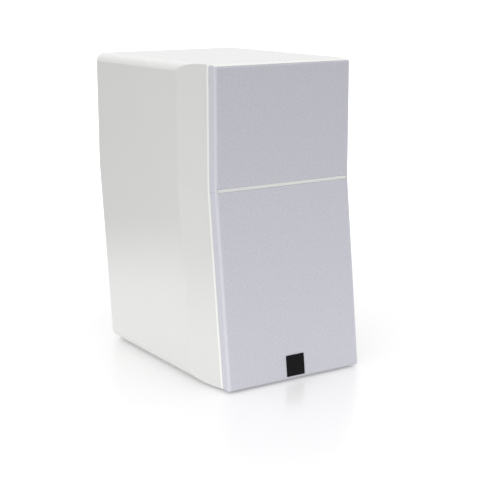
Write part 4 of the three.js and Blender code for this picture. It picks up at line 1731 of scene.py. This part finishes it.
@dataclass(frozen=True)
class Inside:
    """The wadding and the wiring that the cabinet hides."""

    crown: float = 0.42
    edge_power: int = 6
    lumps: float = 1.3
    lump_sizes: tuple[float, ...] = (1.0, 2.3, 4.1)
    lump_turns: tuple[int, int] = (4, 3)
    steps: int = 40
    pads: tuple[str, ...] = ("wadding_left", "wadding_right", "wadding_top")

    def pad(self, node: str, seed: int) -> None:
        """Builds a pad: a crowned pillow with pinched edges, whose face has lumps of three sizes.

        A point at u, v from -1 to 1 stands at (1 - u^6)(1 - v^6) to the power 0.42, times the half
        thickness. Each size of lump is sin(4ku + p) cos(3kv + q) / k, with p and q drawn from the seed.

        Args:
            node: the CAD solid whose room it fills.
            seed: what its lumps are drawn from.
        """
        low, high = (np.array(corner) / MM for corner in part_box(node))
        middle, half = (low + high) / 2, (high - low) / 2
        thin = int(np.argmin(half))
        wide = [axis for axis in range(3) if axis != thin]
        line = np.sin(np.linspace(-np.pi / 2, np.pi / 2, self.steps))
        u, v = np.meshgrid(line, line, indexing="ij")
        draw = np.random.default_rng(seed)
        m, n = self.lump_turns
        lumps = sum(np.sin(u * k * m + draw.uniform(0, 6)) * np.cos(v * k * n + draw.uniform(0, 6)) / k
                    for k in self.lump_sizes)
        loft = ((1 - u**self.edge_power).clip(0) * (1 - v**self.edge_power).clip(0)) ** self.crown
        rise = loft * (half[thin] - self.lumps + self.lumps * 0.5 * lumps.clip(-1, 1))
        sheets = []
        for side in (1, -1):
            points = np.empty((self.steps, self.steps, 3))
            points[..., wide[0]] = middle[wide[0]] + u * half[wide[0]]
            points[..., wide[1]] = middle[wide[1]] + v * half[wide[1]]
            points[..., thin] = middle[thin] + side * rise
            sheets.append(grid(points if side > 0 else points[::-1], wrap_columns=False))
        made = as_mesh(f"{node}_pad", joined(sheets), Look.wadding)
        weld = made.modifiers.new("Weld", "WELD")
        weld.merge_threshold = 0.01 * MM
        applied(made)
        turn_outward(made)
        made.data.shade_smooth()
        settle(made, "cabinet", (node,))

    def build(self) -> None:
        """Builds the pads and dresses the leads."""
        for seed, node in enumerate(self.pads):
            self.pad(node, seed)
        dress("woofer_lead", Look.cable)
        dress("tweeter_lead", Look.cable)


def turn_outward(made: Thing) -> None:
    """Turns a closed mesh's faces outward when its volume comes out negative.

    Args:
        made: the object with the mesh.
    """
    mesh = made.data
    mesh.calc_loop_triangles()
    corners = np.empty(len(mesh.loop_triangles) * 3, np.int32)
    mesh.loop_triangles.foreach_get("vertices", corners)
    a, b, c = (points_of(mesh)[corners.reshape(-1, 3)[:, i]] for i in range(3))
    if (a * np.cross(b, c)).sum() < 0:
        mesh.flip_normals()


# ---- grille --------------------------------------------------------------------------------------


@dataclass(frozen=True)
class Fold:
    """How one edge of the cloth turns over the frame: the arc's radius, and how far it reaches back."""

    radius: float
    back: float
    face_steps: int = 13
    arc_steps: int = 8
    wall_steps: int = 4

    def run(self, edge: float) -> tuple[np.ndarray, np.ndarray, np.ndarray]:
        """Follows the cloth from the middle of the face out to the edge, round it and back.

        Args:
            edge: how far out the edge is.

        Returns:
            The place across, the depth behind the face and the length of cloth used, at each point.
        """
        a = np.linspace(0, np.pi / 2, self.arc_steps + 1)[1:]
        turn = edge - self.radius
        face = np.linspace(0, turn, self.face_steps + 1)
        wall = np.linspace(self.radius, self.back, self.wall_steps + 1)[1:]
        across = np.concatenate([face, turn + self.radius * np.sin(a), np.full(len(wall), edge)])
        depth = np.concatenate([np.zeros(len(face)), self.radius * (1 - np.cos(a)), wall])
        step = np.hypot(np.diff(across), np.diff(depth))
        return across, depth, np.concatenate([[0], np.cumsum(step)])

    def straight(self, edge: float, end: float) -> np.ndarray:
        """Follows the cloth where it doesn't turn at the edge.

        Args:
            edge: how far out the edge is.
            end: how far out the cloth goes instead.

        Returns:
            The place across, at as many points as run() gives.
        """
        turn = edge - self.radius
        face = np.linspace(0, turn, self.face_steps + 1)
        return np.concatenate([face, np.linspace(turn, end, self.arc_steps + self.wall_steps + 1)[1:]])


@dataclass(frozen=True)
class Grille:
    """The pull-off grille: cloth in two halves on a frame, the bar across the bend, and the badge."""

    depth: float = 13.5
    cloth_back: float = 1.1
    half_width: float = 94.5
    bottom: float = 3.5
    top: float = 376.9
    bar_height: float = 3.8
    bar_proud: float = 0.4
    bar_half: float = 92.5
    bar_back: float = 0.7
    bar_radius: float = 0.3
    skin: float = 0.8
    corner: float = 2.2
    end_radius: float = 1.6
    tucks: tuple[Fold, Fold] = (Fold(0.3, 3.0), Fold(1.0, 3.0))
    bar_gaps: Pair = (0.9, 0.3)
    seam: float = 0.03
    badge_size: float = 26.0
    badge_height: float = 18.8
    badge_rows: Rows = (
        (0, 1.0, 0.2), (0, 1.0, 1.1), (1.0, 0.9, 1.8), (2.0, 0.8, 1.8), (2.5, 0.8, 1.55))

    def build_cloth(self, node: str, outer: float, side: int) -> None:
        """Builds one half of the cloth, from the bar to the grille's upper or lower end.

        It is the product of a fold across and a fold along. Each point takes its X from the run across
        and its distance from the bend from the run along, and stands behind the face by both depths
        together, d1 + d2 less the smaller radius where both have turned. Beside the bar the cloth is
        tucked in on the face, and runs on to the bend on the corners and sides. The squares where both
        have turned back are cut away, as a real cloth's corners are.

        Args:
            node: the CAD solid that it replaces.
            outer: how far the grille's end is from the bend.
            side: 1 above the bend and -1 below it.
        """
        reach = self.depth - self.cloth_back
        across, deep, used = Fold(self.corner, reach).run(self.half_width)
        x, dx, u = (np.concatenate([sign * part[:0:-1], part])
                    for sign, part in ((-1, across), (1, deep), (-1, used)))
        gap, tuck = self.bar_gaps[side > 0], self.tucks[side > 0]
        inner = self.bar_height / 2 + gap
        half = (outer - inner) / 2
        out, out_deep, out_used = Fold(self.end_radius, reach).run(half)
        near, near_deep, near_used = tuck.run(half)
        onward = tuck.straight(half, half + inner - self.seam)
        dz = np.concatenate([near_deep[:0:-1], out_deep])
        v = np.concatenate([-near_used[:0:-1], out_used])
        column = np.arange(len(dz))
        by_bar = column < len(near) - 1
        beside = (dx > 0)[:, None] & by_bar
        height = np.where(beside, np.concatenate([-onward[:0:-1], out]),
                          np.concatenate([-near[:0:-1], out]))
        behind = np.where(beside, 0, dz)
        radius = np.where(by_bar, tuck.radius, self.end_radius)
        both = np.clip(dx[:, None] / self.corner, 0, 1) * np.clip(behind / radius, 0, 1)
        y = BOX.front - self.depth + dx[:, None] + behind - both * np.minimum(self.corner, radius)
        z = BOX.bend + side * (inner + half + height)
        sheet = grid(np.stack([np.broadcast_to(x[:, None], y.shape), y, z], axis=-1), wrap_columns=False)
        rows, columns = sheet.quads // len(dz), sheet.quads % len(dz)
        turned_back = (dx > self.corner + NEARLY)[rows].any(axis=1)
        turned_over = (~by_bar & (dz > radius + NEARLY))[columns].any(axis=1)
        leaving = (dx > 0)[rows].any(axis=1) & (dx == 0)[rows].any(axis=1)
        tucked = (column < tuck.arc_steps + tuck.wall_steps)[columns].any(axis=1)
        quads = sheet.quads[~(turned_back & turned_over | leaving & tucked)]
        made = as_mesh(f"{node}_sheet", BOX.bent(Surface(sheet.points, quads[:, ::-side], [])), Look.cloth)
        self.lay_out(made, np.stack(np.meshgrid(u, side * v, indexing="ij"), axis=-1).reshape(-1, 2))
        weld = made.modifiers.new("Weld", "WELD")
        weld.merge_threshold = 0.02 * MM
        skin = made.modifiers.new("Cloth thickness", "SOLIDIFY")
        skin.thickness = self.skin * MM
        skin.offset = -1
        applied(made)
        smoothed(made, 60.0)
        settle(made, "grille", (node,))

    @staticmethod
    def lay_out(made: Thing, flat: np.ndarray) -> None:
        """Writes the flat cloth's coordinates, in metres, to the mesh's own map.

        Args:
            made: the cloth.
            flat: where each point is on the flat cloth, in millimetres.
        """
        mesh = made.data
        layer = mesh.uv_layers.new(name="Flat")
        point = np.empty(len(mesh.loops), np.int32)
        mesh.loops.foreach_get("vertex_index", point)
        layer.data.foreach_set("uv", (flat[point] * MM).astype(np.float32).ravel())

    def build_bar(self) -> None:
        """Carries the bar's profile, a rounded strip bent at its middle, from side to side."""
        face = BOX.front - self.depth
        front, back = face - self.bar_proud, face + self.bar_back
        low, high = BOX.bend - self.bar_height / 2, BOX.bend + self.bar_height / 2
        profile = eased([(front, low), (back, low), (back, high), (front, high)], self.bar_radius, 4)
        strip = slab(profile, -self.bar_half, self.bar_half, self.bar_radius)
        upright = Surface(strip.points[:, [2, 0, 1]], strip.quads, strip.faces)
        piece("grille_strip", BOX.bent(upright).outward(), Look.bar, "grille", ("grille_bar",))

    def build_badge(self) -> None:
        """Builds the blank badge: a plate with a chamfered rim round a very slightly sunk face."""
        rows = [(rectangle(self.badge_size - inset, self.badge_size - inset, corner), height)
                for inset, corner, height in self.badge_rows]
        seat = on_front(self.badge_height, self.depth)
        piece("grille_badge_plate", stacked(rows).moved(seat.matrix), Look.badge, "grille", ("grille_badge",))

    def build(self) -> None:
        """Builds the whole grille."""
        self.build_cloth("grille_cloth_upper", self.top - BOX.bend, 1)
        self.build_cloth("grille_cloth_lower", BOX.bend - self.bottom, -1)
        self.build_bar()
        self.build_badge()
        dress("grille_frame", Look.moulding)


# ---- studio --------------------------------------------------------------------------------------


@dataclass(frozen=True)
class Softbox:
    """A broad lamp: where it is, what it faces, its size in metres and its power in watts."""

    name: str
    place: Triple
    size: Pair
    power: float

    def build(self, target: Vector) -> None:
        """Makes the lamp and turns it to a target.

        Args:
            target: what the lamp faces.
        """
        data = bpy.data.lights.new(self.name, "AREA")
        data.shape = "RECTANGLE"
        data.size, data.size_y = self.size
        data.energy = self.power
        lamp = bpy.data.objects.new(self.name, data)
        lamp.location = self.place
        lamp.rotation_euler = (target - Vector(self.place)).to_track_quat("-Z", "Y").to_euler()
        bpy.context.scene.collection.objects.link(lamp)


@dataclass(frozen=True)
class Studio:
    """A pale floor under a bright even sky, two softboxes on the left and the camera."""

    camera_place: Triple = (-0.79357, -1.26174, 0.47655)
    azimuth: float = -32.695
    elevation: float = 12.522
    roll: float = -0.217
    lens: float = 89.16
    far_clip: float = 200.0
    floor_rings: tuple[float, ...] = (40000.0, 2000.0, 600.0, 200.0)
    floor_sides: int = 64
    floor_height: float = -0.02
    floor_colour: Triple = (0.745, 0.745, 0.745)
    floor_far: Triple = (0.12, 0.12, 0.12)
    floor_fade: Pair = (0.3, 1.05)
    floor_roughness: float = 0.22
    floor_gloss: float = 1.0
    floor_glow: Pair = (0.17, 0.5)
    zenith: float = 1.22
    horizon: float = 0.85
    zenith_from: float = 0.9
    lamps: tuple[Softbox, ...] = (
        Softbox("front left", (-1.9, -1.5, 0.95), (1.3, 1.5), 9.0),
        Softbox("left", (-2.4, -0.1, 0.9), (1.3, 1.5), 4.0),
    )

    def build_camera(self) -> None:
        """Aims the camera down by its elevation and round by its azimuth, with a trace of roll."""
        data = bpy.data.cameras.new("camera")
        data.lens = self.lens
        data.clip_end = self.far_clip
        camera = bpy.data.objects.new("camera", data)
        camera.location = self.camera_place
        aim = Euler((np.radians(90 - self.elevation), 0, np.radians(self.azimuth)), "XYZ").to_matrix()
        camera.rotation_euler = (aim @ Matrix.Rotation(np.radians(self.roll), 3, "Z")).to_euler()
        bpy.context.scene.collection.objects.link(camera)
        bpy.context.scene.camera = camera

    def floor_material(self) -> bpy.types.Material:
        """Makes the floor's finish: pale and slightly glossy near the middle.

        It glows faintly, as a light table does. Further out it lights its surroundings less, as a table
        of limited size does, and looks plain white, so that it has no far edge.

        Returns:
            The material.
        """
        made = bpy.data.materials.new("Studio floor")
        made.use_nodes = True
        tree = Tree(made.node_tree)
        shader = made.node_tree.nodes["Principled BSDF"]
        shader.inputs["Roughness"].default_value = self.floor_roughness
        shader.inputs["Specular IOR Level"].default_value = self.floor_gloss
        shader.inputs["Emission Color"].default_value = (1.0, 1.0, 1.0, 1.0)
        place = tree.add("TexCoord").outputs["Object"]
        radius = tree.add("VectorMath", {0: place}, operation="LENGTH").outputs["Value"]
        near, far = self.floor_fade
        faded = tree.add("MapRange", {0: radius, 1: near, 2: far}, interpolation_type="SMOOTHSTEP").outputs[0]
        seen = tree.add("LightPath").outputs["Is Camera Ray"]
        unseen = tree.math("MULTIPLY", faded, tree.math("SUBTRACT", 1.0, seen))
        links = made.node_tree.links
        links.new(tree.between(unseen, self.floor_colour, self.floor_far), shader.inputs["Base Color"])
        middle, edge = self.floor_glow
        glow = tree.add("MapRange", {0: faded, 3: middle, 4: tree.math("MULTIPLY", seen, edge)}).outputs[0]
        links.new(glow, shader.inputs["Emission Strength"])
        return made

    def build_floor(self) -> None:
        """Lays a round floor, far wider than the view, just under the feet."""
        sides = self.floor_sides
        rows = np.stack([np.column_stack([circle(radius, sides), np.full(sides, self.floor_height)])
                         for radius in self.floor_rings])
        surface = grid(rows)
        surface.faces = [(np.arange(sides) + (len(rows) - 1) * sides).tolist()]
        made = as_mesh("studio_floor", surface)
        made.data.materials.append(self.floor_material())
        if made.data.polygons[0].normal.z < 0:
            made.data.flip_normals()

    def build_sky(self) -> None:
        """Makes a white sky that is a little dimmer towards the horizon."""
        world = bpy.data.worlds.new("studio")
        world.use_nodes = True
        bpy.context.scene.world = world
        tree = Tree(world.node_tree)
        up = tree.add("SeparateXYZ", {0: tree.add("TexCoord").outputs["Generated"]}).outputs[2]
        strength = tree.add("MapRange", {0: up, 1: 0.0, 2: self.zenith_from, 3: self.horizon,
                                     4: self.zenith}).outputs[0]
        background = world.node_tree.nodes["Background"]
        background.inputs[0].default_value = (1.0, 1.0, 1.0, 1)
        world.node_tree.links.new(strength, background.inputs[1])

    def build(self) -> None:
        """Builds the studio."""
        self.build_camera()
        self.build_floor()
        self.build_sky()
        target = Vector((0, 0, (BOX.top + BOX.base) / 2 * MM))
        for lamp in self.lamps:
            lamp.build(target)
        bpy.context.scene.view_settings.view_transform = "Standard"


def main() -> None:
    """Builds the studio and the loudspeaker, one sub-assembly after another."""
    logging.basicConfig(level=logging.INFO, format="%(name)s: %(message)s")
    for assembly in (Studio(), Cabinet(), Woofer(), Tweeter(), Port(), Terminals(), Crossover(), Inside(),
                     Grille()):
        log.info("building %s", type(assembly).__name__)
        assembly.build()


if __name__ == "__main__":
    main()
